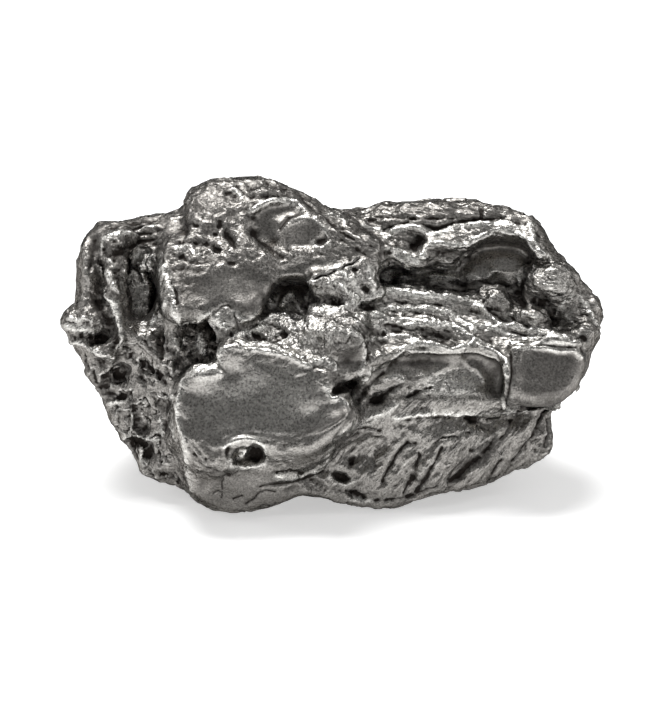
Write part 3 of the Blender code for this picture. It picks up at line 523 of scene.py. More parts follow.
TONGUE_STROKES = [
    ([(29.8, 21.4), (33, 21.5), (36, 21.4), (40, 21.2)], 0.3, 0.35),
    ([(29.7, 20.6), (32, 20.7), (35, 20.6), (37.5, 20), (40, 20.1), (41.3, 19)], 0.35, 0.4),
    ([(30, 21), (36, 21), (40.5, 20.7)], 0.2, -0.3),
    ([(29.6, 19.5), (29.7, 16), (29.2, 13.5), (28.8, 11.5)], 0.35, -0.6),
    ([(28, 19), (28.7, 17), (28.5, 14), (28.2, 11.5)], 0.4, 0.35),
    ([(28.5, 11), (31, 10.4), (34, 11), (37, 12.4), (40.5, 14.3)], 0.4, 0.35),
    ([(29.2, 11), (31, 10.8), (33, 11.4)], 0.25, -0.4),
    ([(36, 12.4), (38.5, 13.3)], 0.22, -0.2),
    ([(41.3, 20.5), (42, 19.5), (42.6, 18.3)], 0.3, -0.5),
]

# The shelf: streaked ledges that run from the prow to the right end, above the lower band. The iron
# flowed along them while it was molten.

SHELF_STROKES = [
    ([(6.3, 29), (9, 29.7), (12, 29.2), (16, 29), (20, 28.8), (22.5, 28.5), (24.5, 27.5), (26, 26),
      (27.5, 24.7), (30, 24.1), (33, 23.5), (36, 22.4), (39, 21.8)], 0.45, 0.5),
    ([(4, 25.9), (8, 25.8), (11, 25.4), (15, 25), (19, 24.7), (23, 24.3), (26, 24.2), (29, 23), (31, 22.4),
      (35, 21.9), (39, 21.6)], 0.35, 0.4),
    ([(5, 25.3), (9, 24.9), (13, 24.4), (17, 24.3), (20.5, 24), (22.5, 23), (24.5, 21.6),
      (27, 20.9)], 0.3, 0.3),
    ([(9, 22.5), (12, 22.2), (15, 21.6), (17, 21), (19, 20.4)], 0.4, 0.45),
    ([(4.5, 21.5), (7, 22.2), (10, 22.8), (13, 22.5)], 0.35, 0.35),
    ([(8, 27), (12, 27.1), (16, 27), (19, 26.4), (21, 25.4), (22.5, 24.5), (23.5, 23.8)], 0.4, 0.4),
    ([(7, 28), (10, 28.2), (14, 28), (18, 27.8)], 0.3, -0.15),
    ([(12, 26.2), (16, 26.3), (19.5, 25.5), (21.5, 24.4)], 0.35, -0.20),
    ([(4.8, 22.2), (7, 21.8), (10, 21.3), (12, 21.2)], 0.5, -0.30),
    ([(9, 24.2), (13, 23.6), (17, 23.7), (20, 23.2)], 0.3, -0.17),
    ([(13, 22.9), (16, 22.2), (19.5, 21.4), (21, 21.8)], 0.3, -0.17),
    ([(27, 23.4), (30, 22.9), (34, 22.3), (38, 21.9)], 0.25, -0.17),
]
SHELF_DENTS = [
    ((23, 26.5), (2.4, 0.7), -20, 0.20), ((10.8, 23.6), (1.5, 0.6), -15, 0.30),
    ((17.8, 22.7), (1.8, 0.5), -15, 0.35), ((25, 22.6), (2.5, 0.5), -20, 0.25),
    ((8, 18.7), (1.6, 1.0), 20, -0.3),
]

# The channel: the deep dark trough behind the shelf, with rough lumps in its mouth on the right.
# The brush didn't reach its floor, so the oxide stayed there.

CHANNEL_STROKES = [
    ([(24, 32.1), (26, 32), (27, 33), (27.6, 33.4)], 0.4, 0.15),
    ([(21.5, 34.5), (23, 36), (25, 37), (28, 37.2), (31, 36.8), (32.5, 35.8)], 1.0, -0.9),
    ([(20, 34), (21.3, 35.6), (23, 37), (25, 38.5), (27, 39.3)], 0.28, 0.3),
    ([(27, 26), (28.5, 25.2), (30, 25), (32.5, 24.3)], 0.5, -0.8),
    ([(32.3, 32.2), (31.5, 31), (31, 29.5), (31.5, 28)], 0.7, -1.0),
    ([(31, 31), (31.3, 32), (32.2, 32.3)], 0.25, 0.4),
    ([(36.5, 26.3), (38, 28), (39.5, 29.5)], 0.28, 0.3),
    ([(38, 27.3), (39.3, 25.8), (40.5, 24)], 0.28, 0.3),
    ([(41, 29), (42, 27.5), (43, 25.8), (44, 24)], 0.4, 0.5),
    ([(40.5, 22), (41.5, 22.6), (42, 22)], 0.25, -0.5),
    ([(21, 30.5), (24, 31), (28, 30.6), (30.5, 30.8)], 0.5, -0.4),
    ([(27, 33.5), (30, 33), (33, 33.8)], 0.8, 0.4),
    ([(13, 32.2), (16, 32.8), (19, 32.4)], 0.5, 0.4),
]
CHANNEL_DENTS = [
    ((36.3, 31.2), (3.0, 2.2), 0, -0.5), ((36.8, 29.2), (1.2, 0.5), 10, -0.4),
    ((27.2, 28.5), (2.2, 1.7), -35, -0.8), ((25, 29.6), (1.0, 0.8), 0, -0.5),
    ((31.8, 26), (2.0, 1.0), 0, -0.7), ((33.8, 25.2), (1.8, 0.9), -20, -0.6),
    ((43.3, 28.3), (1.0, 0.9), 0, -0.4), ((42.3, 23.4), (1.6, 1.1), 0, -0.5),
    ((41, 21.6), (1.0, 0.6), 0, -0.3), ((38.3, 34.3), (2.0, 1.2), -35, -0.4),
    ((34.5, 28.7), (1.8, 1.2), 0, 0.5), ((15, 31.5), (2.5, 1.0), 0, 0.8), ((9.5, 32.5), (2.0, 1.5), 0, 0.5),
]

# The top right: a double crest over the channel, brushed bright, with a teardrop pit, and a streaky
# rough roof behind it.

TOP_STROKES = [
    ([(9, 37.2), (10.5, 36.2), (12, 35), (13.5, 34.4), (15, 34.4), (16.5, 34.6), (19.5, 34.3)], 0.4, 0.5),
    ([(9, 37), (11, 36.8), (12.5, 35.9), (14, 35.3), (15, 36), (15.4, 37.3), (16.5, 38), (19, 37.8),
      (21, 37.7), (23, 38), (25, 39), (27, 39.8), (29, 39.6), (31, 39.4), (32.5, 38.6), (33.5, 37),
      (35, 35.8)], 0.35, 0.55),
    ([(15.8, 37.9), (17, 38.5), (20, 38.2), (22.5, 38.3), (24.5, 39.2), (26, 40), (28, 40.3),
      (31, 39.9)], 0.3, 0.35),
    ([(9.5, 39.5), (11.5, 40.6), (13.5, 40.9), (15, 40.3), (15.3, 39.8)], 0.5, 0.5),
    ([(16, 39.3), (19, 40.2), (21, 40.8), (24, 41), (27, 41.4), (30, 40.8), (33, 40.8)], 0.45, 0.5),
    ([(8.5, 40.3), (10, 40.8), (12, 41.3), (15, 41), (17, 40.3), (20, 41.3), (24, 41.9),
      (28, 42.2)], 0.35, -0.45),
    ([(6, 41.8), (9, 42.3), (12, 42.2), (16, 42), (20, 42)], 0.3, -0.35),
    ([(33, 40), (33.5, 38.5), (34.5, 36.8), (36, 35.3)], 0.4, 0.4),
    ([(4.3, 41.5), (6, 40), (8, 38.5), (9.5, 37.2)], 0.3, -0.35),
    ([(4.2, 39.8), (5.5, 38.5), (7, 37.2)], 0.35, -0.4),
    ([(5, 41), (8, 39.8), (9, 38.8)], 0.3, 0.3),
    ([(1.5, 38.5), (3.5, 37.2), (6, 35.5)], 0.5, -0.3),
]
TOP_DENTS = [
    ((18.5, 36.4), (2.6, 0.7), -5, 0.8), ((14, 38.3), (1.7, 0.7), 35, 0.9),
    ((13.8, 36.9), (0.8, 0.6), 0, 0.7), ((11, 39), (1.5, 1.0), 0, -0.3), ((22, 39.3), (2.5, 0.8), 5, -0.3),
    ((22.3, 43), (2.2, 0.8), 0, -0.4), ((11.5, 42.7), (1.6, 0.6), 5, -0.35),
    ((19, 43.8), (1.6, 0.6), 0, -0.3), ((24.7, 43.2), (0.4, 1.0), 0, 0.5),
    ((26.3, 43.5), (1.2, 0.7), -15, -0.3), ((18, 41), (1.4, 0.4), 0, -0.3),
    ((31.2, 41.3), (1.0, 0.7), 0, 0.5), ((34.3, 39), (0.7, 1.4), 0, 0.6),
]

# The left shoulder: an outer rim, a ribbed pillar with an arched top, a deep gap beside the brow,
# a streaky roof over them, and a spur with a dark ledge under it.

SHOULDER_STROKES = [
    ([(-39.5, 38.5), (-39.6, 36), (-39.8, 34)], 0.8, -0.5),
    ([(-38, 36.8), (-37.7, 38.3), (-36.8, 39.3), (-35.3, 39.6), (-33.8, 39.2), (-32.6, 38.8)], 0.45, 0.5),
    ([(-37.8, 35.3), (-36.8, 35), (-36.3, 34)], 0.35, 0.35),
    ([(-38.6, 34), (-38, 32.5), (-37.2, 33), (-36.8, 31.8), (-36.2, 30.8), (-35.2, 30)], 0.45, 0.5),
    ([(-34.3, 34.5), (-34, 33), (-33.8, 32)], 0.3, 0.35),
    ([(-37.6, 30), (-37.2, 29), (-36, 28.2), (-35.6, 28)], 0.4, 0.4),
    ([(-36.3, 27.6), (-35.8, 26), (-35.5, 24.5), (-35.3, 24)], 0.6, 0.5),
    ([(-38.8, 28), (-38, 26), (-37, 24.5), (-36, 22), (-36, 20.5)], 0.8, -0.6),
    ([(-31.8, 34.2), (-30.5, 34.2), (-29, 34.2)], 0.3, 0.4),
    ([(-31.5, 34), (-31.2, 32.5), (-30.8, 31.6)], 0.35, 0.5),
    ([(-30.2, 33.5), (-29.8, 31.5), (-29.9, 29.5)], 0.3, 0.4),
    ([(-29.3, 33.5), (-28.9, 31), (-29.3, 28.5), (-29.8, 26.5)], 0.3, -0.4),
    ([(-28.7, 36.5), (-28.4, 33), (-28.6, 30), (-29.3, 27), (-30, 25)], 0.35, 0.3),
    ([(-28.2, 36.5), (-28.1, 34.5)], 0.3, -0.6),
    ([(-27.5, 28.5), (-28.5, 26.5), (-30, 24.5)], 0.5, 0.4),
    ([(-36.5, 40.8), (-33, 41.2), (-29.5, 41.8)], 0.3, -0.3),
    ([(-36, 40.2), (-33, 40.3), (-31, 41), (-29, 41.3)], 0.25, -0.3),
    ([(-32, 40.1), (-30.5, 40.8), (-29, 41)], 0.3, 0.4),
    ([(-33, 39.4), (-30, 39.7), (-27.5, 40.5)], 0.3, -0.35),
    ([(-32, 38.3), (-29.5, 38.6), (-27.5, 39.3), (-25.5, 40.8)], 0.3, -0.35),
    ([(-31.5, 37.3), (-29, 37.8), (-27.8, 38.2)], 0.3, -0.3),
    ([(-44.5, 24.3), (-43, 24.1), (-41, 23.9), (-39.5, 23.6)], 0.5, 0.5),
    ([(-43.8, 25.5), (-42.3, 25.2), (-40.8, 25.4), (-40, 25)], 0.4, 0.4),
    ([(-43.6, 24.9), (-42.4, 24.6)], 0.25, -0.25),
    ([(-43, 22.6), (-41, 22.7), (-39, 22.5), (-37.5, 22)], 0.5, -0.3),
    ([(-43.2, 21.8), (-42, 21.7), (-40.8, 21.1), (-39.8, 20.4), (-38.5, 19.7), (-37, 19.2),
      (-36.2, 19.3)], 0.4, 0.6),
]
SHOULDER_DENTS = [
    ((-41, 36.5), (0.8, 1.6), 0, -0.3), ((-40.2, 34), (0.8, 0.9), 0, 0.6),
    ((-36, 38.2), (0.4, 0.4), 0, 0.4), ((-36.3, 38.2), (1.3, 0.9), 0, -0.3),
    ((-35.8, 36), (1.6, 1.4), 0, 0.6), ((-36, 33), (1.2, 1.2), 0, 0.5), ((-34.5, 37.2), (1.0, 0.5), 0, 0.4),
    ((-37, 29), (1.1, 1.0), 0, -0.5), ((-35, 25.5), (0.7, 1.6), 0, -0.4),
    ((-38.2, 26.2), (0.9, 0.9), 0, -0.4), ((-30.2, 35), (1.5, 1.0), 25, -0.8),
    ((-27.2, 29.8), (0.6, 1.5), 0, -0.3), ((-26.5, 42.3), (1.2, 0.4), 10, -0.3),
    ((-41, 26), (0.6, 0.8), 30, -0.4), ((-43.8, 26.4), (0.5, 0.3), 0, -0.3),
    ((-38, 20.8), (1.6, 0.9), 0, 0.2),
]

# The left foot: the flank under the shoulder. The ground etched many small deep pits into it, and
# the brush has cleaned the webs between them.

FOOT_STROKES = [
    ([(-35, 22.5), (-35.5, 21), (-36, 19.5), (-36.5, 18.5)], 0.5, 0.3),
    ([(-36.6, 11.3), (-35.5, 11.4), (-34.2, 12.2)], 0.45, 0.6),
    ([(-31.2, 21.8), (-30.5, 20.8), (-29.8, 20.4)], 0.3, -0.6),
    ([(-31, 18.5), (-30, 17), (-28.8, 15.8), (-27.8, 14.8)], 0.35, -0.5),
    ([(-30.5, 22.5), (-30, 20), (-28.8, 18), (-27.7, 16), (-27.2, 15.3)], 0.7, 0.4),
    ([(-26.4, 22), (-26, 20), (-26.4, 18.5), (-26.6, 16.5)], 0.45, 0.5),
    ([(-28.5, 9), (-28.2, 6)], 0.28, 0.3),
    ([(-26.8, 8.5), (-26.5, 6)], 0.28, 0.3),
    ([(-33.5, 10.8), (-33.1, 8.5), (-33.4, 6.8)], 0.22, 0.3),
    ([(-34.5, 5.6), (-33, 5.9), (-31, 5.6), (-29, 5.4)], 0.35, 0.4),
    ([(-34.5, 5), (-32.5, 5), (-31, 4.4)], 0.25, -0.5),
    ([(-33.8, 4.8), (-32.8, 3), (-32.4, 2.2)], 0.25, -0.5),
    ([(-33, 4.8), (-32.2, 3.2)], 0.25, -0.4),
    ([(-31.5, 4), (-31.6, 2.5), (-31, 1.3)], 0.45, 0.4),
    ([(-41.2, 19.2), (-41, 18), (-40, 16.5), (-39.5, 14.5)], 0.3, -0.5),
    ([(-29, 12.6), (-27.5, 12.4), (-26.3, 12.5)], 0.35, 0.4),
]
FOOT_DENTS = [
    ((-34, 19.3), (0.5, 0.8), 0, 0.36), ((-31.7, 18.2), (0.5, 1.0), 25, 0.42),
    ((-29.1, 18.2), (0.3, 0.7), 0, 0.30), ((-31.9, 16.2), (0.6, 1.0), 20, 0.42),
    ((-34.9, 16.6), (1.2, 1.0), 20, 0.60), ((-37.5, 15.3), (0.8, 1.2), -20, 0.48),
    ((-37.8, 13.5), (1.6, 0.9), -15, 0.60), ((-38, 12), (1.2, 0.4), 0, 0.36),
    ((-35.4, 12.6), (1.3, 0.4), -15, 0.42), ((-28, 22), (1.0, 1.0), 0, 0.42),
    ((-27.6, 20), (1.0, 0.8), 0, 0.36), ((-27.8, 11), (1.0, 1.0), 0, 0.36),
    ((-27.7, 7.6), (0.6, 1.3), 0, 0.42), ((-32.6, 9.2), (1.0, 2.0), 0, 0.54),
    ((-31.5, 7.3), (1.5, 0.9), 0, 0.42), ((-29.9, 9.8), (0.6, 1.3), 0, -0.4),
    ((-30.3, 3.6), (0.8, 1.3), 0, 0.48), ((-30, 0.8), (0.7, 0.5), -30, -0.4),
    ((-29.2, 2.5), (0.6, 0.9), 0, 0.30), ((-27.1, 1.5), (0.9, 0.3), 0, -0.5),
    ((-27.3, 0.6), (1.6, 0.7), 0, -0.5), ((-27, -1.2), (2.0, 0.8), -20, 0.54),
    ((-38.3, 18), (1.3, 0.8), 0, 0.18), ((-36.2, 17), (0.6, 0.5), 0, 0.24),
]

# The dark recess left of the plate, the cave under the brow's lip and the rough slope between them,
# where the etching has cut deepest and the oxide stayed.

RECESS_STROKES = [
    ([(-38.3, 36.5), (-37.6, 38.2), (-36, 39.2), (-34, 39.3), (-32.6, 38.8)], 0.4, 0.55),
    ([(-25.3, 22.5), (-25.6, 20)], 0.35, 0.35),
    ([(-18.8, 26), (-18.3, 24.5), (-17.2, 23.5)], 0.4, 0.4),
    ([(-16.3, 26.5), (-16.2, 25), (-15.7, 24)], 0.25, -0.5),
    ([(-14.5, 22.5), (-12.5, 22), (-11, 22.3), (-9.5, 22), (-8, 22.5)], 0.4, -0.5),
    ([(-16.5, 22), (-14, 23.2), (-11, 23.8)], 0.5, 0.4),
    ([(-12, 24.5), (-9, 25.2), (-7, 24.5)], 0.4, 0.4),
    ([(-13, 24.2), (-10, 24), (-7.8, 23)], 0.35, -0.5),
    ([(-8.6, 28.3), (-7.6, 29), (-6.6, 28.9)], 0.35, 0.5),
    ([(-23.8, 19.4), (-22, 19.7), (-20.6, 19.4)], 0.4, 0.4),
    ([(-21.5, 23.5), (-20.5, 21.5), (-20, 20)], 0.4, 0.35),
]
RECESS_DENTS = [
    ((-18.0, 24.0), (1.0, 2.6), 10, 0.5), ((-15.6, 24.8), (0.9, 0.8), 0, -0.5),
    ((-23.5, 19), (1.8, 0.8), 0, -0.4), ((-9.5, 27.5), (0.8, 0.6), 0, -0.5),
    ((-6.5, 27), (0.9, 0.7), 0, -0.5), ((-12.5, 22.9), (0.8, 0.5), 0, 0.4),
]

# Broad rises and sinkings. The floors of the cave, the square hollow and the channel are raised, to
# 3.3 mm off the solid at most, because its hollows are too deep. Some faces are tilted a little.
# Centre, radii, turn, height.

SWELLS = [
    ((-34.6, 28.5), (1.2, 4.5), 0, -0.8), ((-23, 33.8), (3.5, 1.8), 0, 0.7),
    ((-23, 28.3), (3.5, 1.8), 0, -0.3), ((-22.3, 21.6), (4.0, 3.6), 0, 3.0),
    ((-7.5, 27.3), (3.8, 2.8), 0, 3.6), ((13, 32.4), (8.5, 2.6), 0, 2.0), ((15, 33.6), (6, 0.9), 0, -1.2),
    ((27, 33.6), (7, 3.5), 0, 1.5), ((2.6, 14.9), (2.6, 1.9), 0, 1.6), ((37.5, 24.5), (2.8, 2.4), 0, 1.8),
    ((-40, 22.4), (3.2, 1.5), 0, 1.3), ((-18, 25.6), (8.5, 1.5), 3, 0.4), ((36, 13.5), (6.5, 2.0), 8, 0.9),
    ((36, 19.8), (6.0, 1.4), 0, -0.3), ((35.5, 12.0), (6.8, 1.6), 14, 1.6),
    ((-5, 41.3), (3.4, 1.6), -10, 0.7), ((-5, 37), (3.8, 1.2), -5, -0.5),
    ((-10.8, 41.4), (2.6, 1.3), 10, 0.3), ((-10.2, 38.6), (2.4, 1.2), -25, -0.7),
    ((-9.5, 43.6), (4.2, 1.4), 5, -0.2), ((-21.5, 18.8), (3.2, 1.1), 0, -0.8),
    ((0.8, 12.1), (2.2, 1.0), 0, 0.5), ((1.2, 9.3), (2.8, 1.3), 35, -0.7),
    ((2.5, 22.8), (3.2, 1.4), 0, 1.1), ((2.8, 18.0), (2.6, 1.6), 0, -1.2),
    ((36.3, 31.4), (3.2, 2.4), 0, 1.0), ((24.5, 39.4), (8, 0.9), 6, -0.8),
    ((-31.9, 8.5), (2.2, 3.0), 0, 0.6), ((-30, 2.8), (1.4, 2.4), 0, 0.6), ((-37, 14.5), (2.2, 2.6), 0, 0.5),
    ((22, 43.2), (7, 1.6), 0, -0.4), ((-18, 19.6), (2.6, 1.6), 30, 0.5),
]

for at, radii, turn, height in SWELLS:
    swell(at, radii, turn, height)
for strokes in (
    BROW_STROKES, PROW_STROKES, PLATE_STROKES, BAND_STROKES, TONGUE_STROKES, SHELF_STROKES,
    CHANNEL_STROKES, TOP_STROKES, SHOULDER_STROKES, FOOT_STROKES, RECESS_STROKES,
):
    for path, width, height in strokes:
        stroke(path, width, height)
for dents in (
    BROW_DENTS, PROW_DENTS, PLATE_DENTS, BAND_DENTS, SHELF_DENTS,
    CHANNEL_DENTS, TOP_DENTS, SHOULDER_DENTS, FOOT_DENTS, RECESS_DENTS,
):
    for at, radii, turn, depth in dents:
        dent(at, radii, turn, depth)

# Smooth faces, where the skin was melted even: centre, two radii and turn. Elsewhere it is rough.
SMOOTH_FACES = [
    ((-14, 11), (12, 7.5), 10), ((-3, 10), (6, 4), 20), ((36, 16.5), (6.5, 4.5), 15),
    ((-15.8, 29.8), (7.5, 4.2), 5), ((-9.5, 42), (4, 2.6), 10), ((-5, 39.5), (4, 2.4), -10),
    ((17, 18), (11, 1.8), 8), ((26, 16), (2.5, 3), 0), ((29, 37), (4.5, 2.5), 0), ((27, 34), (4, 2.5), 0),
    ((3, 18.5), (2.0, 1.8), 0), ((-4, 33.5), (6, 1.2), 5), ((-39, 38.5), (1.5, 2.5), 0),
    ((-2, 5), (5, 2), 30), ((-15, -3), (9, 3), 0),
]
smooth = np.zeros(len(points))
for at, radii, turn in SMOOTH_FACES:
    far = spread(at, radii, turn)
    smooth = np.maximum(smooth, in_sight * np.clip(1.6 - far, 0, 1))
# Craggy patches, where the etching has cut deepest: the same three numbers.
CRAGGY_PATCHES = [
    ((-18.3, 25.2), (2.2, 2.6), 0), ((-22.3, 21), (3.6, 4), 0), ((2, 21.5), (3, 2), 0),
    ((-10, 22.8), (8, 1.8), 0), ((1, 30.5), (5, 4), 0), ((36, 31), (4, 3), 0), ((27.5, 28), (3.5, 2), 0),
    ((32, 25.5), (3, 1.5), 0), ((-41, 24), (4, 3), 0), ((-23, 37), (5, 2), 0), ((-4.5, 36.8), (2.5, 1), 0),
    ((-36, 35), (3, 4), 0), ((-8, 27), (4, 2.5), 0), ((2, 24.5), (4, 1.5), 0),
]
craggy = np.zeros(len(points))
for at, radii, turn in CRAGGY_PATCHES:
    far = spread(at, radii, turn)
    craggy = np.maximum(craggy, in_sight * np.clip(1.6 - far, 0, 1))
# Where the brush pressed hard (below zero) and where it left the oxide film: centre, two radii, turn and
# amount. These also paint light and shade into the colour: the pressed places, some of them in dark
# hollows, are lightened as painted light, and the filmed places, some of them over bright facets, are
# darkened as painted shade.
BRUSHING_AND_PAINTED_LIGHT = [
    ((-31.9, 29.5), (2.2, 6), 0, -0.5), ((-34, 40.8), (7.5, 1.2), 3, 0.5),
    ((-35.5, 37.2), (2.2, 1.5), 0, 0.45), ((-6.6, 31.0), (3.0, 0.8), 10, 0.7),
    ((14, 32.2), (8, 2.0), 0, -0.9), ((-24, 29.5), (3.2, 3.5), 0, 0.3), ((-13.5, 28.2), (3, 3), 0, 0.35),
    ((-18.3, 25.3), (2.0, 2.4), 0, -0.5), ((1.8, 10), (1.8, 1.8), 0, 0.6), ((38, 24.5), (3.0, 2.6), 0, 0.3),
    ((-9, 41), (5, 4), 0, 0.25), ((17, 17), (11, 2.5), 3, 0.2), ((-7.6, 26.8), (3.2, 1.6), 0, -0.8),
    ((36, 16), (7, 5), 0, 0.3), ((2.5, 20.8), (3.4, 3.4), 0, 0.6), ((-24, 31), (3, 3.5), 0, 0.3),
    ((17, 42.8), (13, 2), 0, 0.3), ((-36, 33), (2.5, 5), 0, 0.25), ((-12, 11.5), (13, 8), 8, -0.35),
    ((-19, 44.5), (5, 3.5), 0, 0.22), ((-4, 22.8), (8, 2.5), 0, -0.4), ((20, 25.5), (16, 3.2), -8, -0.2),
    ((20, 14.6), (5.5, 2.3), 0, -0.7), ((13.5, 18.1), (5, 0.8), 8, 0.5), ((25.6, 16.5), (1.9, 2.6), 0, 0.4),
    ((36, 12.6), (6, 1.1), 12, 0.5), ((9.5, 32.5), (2.2, 1.8), 0, -0.9), ((-30.6, 35), (1.8, 1.6), 0, -0.5),
    ((-22.2, 21), (3.5, 4), 0, -0.2), ((15, 6), (15, 6), 12, -0.1), ((1, 30), (5, 4), 0, -0.35),
    ((36.5, 31.2), (3.5, 2.5), 0, -0.25), ((-21, 16), (3, 1), 0, -0.5),
]
for at, radii, turn, amount in BRUSHING_AND_PAINTED_LIGHT:
    far = spread(at, radii, turn)
    layer = groove_oxide_and_shade if amount > 0 else polish_and_painted_highlight
    layer += abs(amount) * np.exp(-(far ** 1.5)) * in_sight
points = points + facing_out * relief[:, None]
put_points(mesh, points)
# The back, ends and underside, which the photo doesn't show, are evenly rough and pitted.
HIDDEN_PITTED = 0.9
HIDDEN_STREAKY = 0.7
HIDDEN_ROUGH = 1.5
# The streaks slant across the lower band and run along the rest. Etched pits crowd the left foot.
slanted = in_sight * np.clip((up - 3 < 9.5) * (across > -2), 0, 1)
pitted = 0.15 + 0.85 * in_sight * np.clip((-24 - across) / 3, 0, 1) * np.clip((24 - up) / 3, 0, 1)
pitted = np.where(in_sight > SEEN, pitted, HIDDEN_PITTED)
streaky = np.maximum(slanted, np.clip((across - 3) / 3, 0, 1) * np.clip((up - 19) / 3, 0, 1))
streaky = np.maximum(streaky, np.clip((up - 38.5) / 2, 0, 1) * np.clip((-26 - across) / 2, 0, 1))
streaky = np.where(in_sight > SEEN, 0.2 + 0.8 * streaky, HIDDEN_STREAKY)
rough = (1 - 0.9 * smooth + 0.6 * craggy * (1 - smooth)) * (1 - 0.2 * slanted)
rough = np.where(in_sight > SEEN, rough, HIDDEN_ROUGH)
for name, values, times in (
    ("rough", rough, 6), ("slanted", slanted, 4), ("pitted", pitted, 4), ("streaky", streaky, 6),
    ("polish_and_painted_highlight", polish_and_painted_highlight, 0), ("groove_oxide_and_shade", groove_oxide_and_shade, 0),
):
    mark(mesh, name, blurred(values, edges, times))


# The streaks run along the stone, turned by the first angle, and across the lower band by the second.
STREAK_TURN = math.radians(14)
SLANT_TURN = math.radians(-50)
# The relief's spacings and heights in millimetres.
RELIEF = {
    "Lump Spacing": 2.8, "Lump Height": 1.1, "Streak Spacing": 1.9, "Streak Height": 0.75,
    "Grain Spacing": 1.8, "Grain Height": 0.42, "Pit Spacing": 2.3, "Pit Depth": 0.45,
}


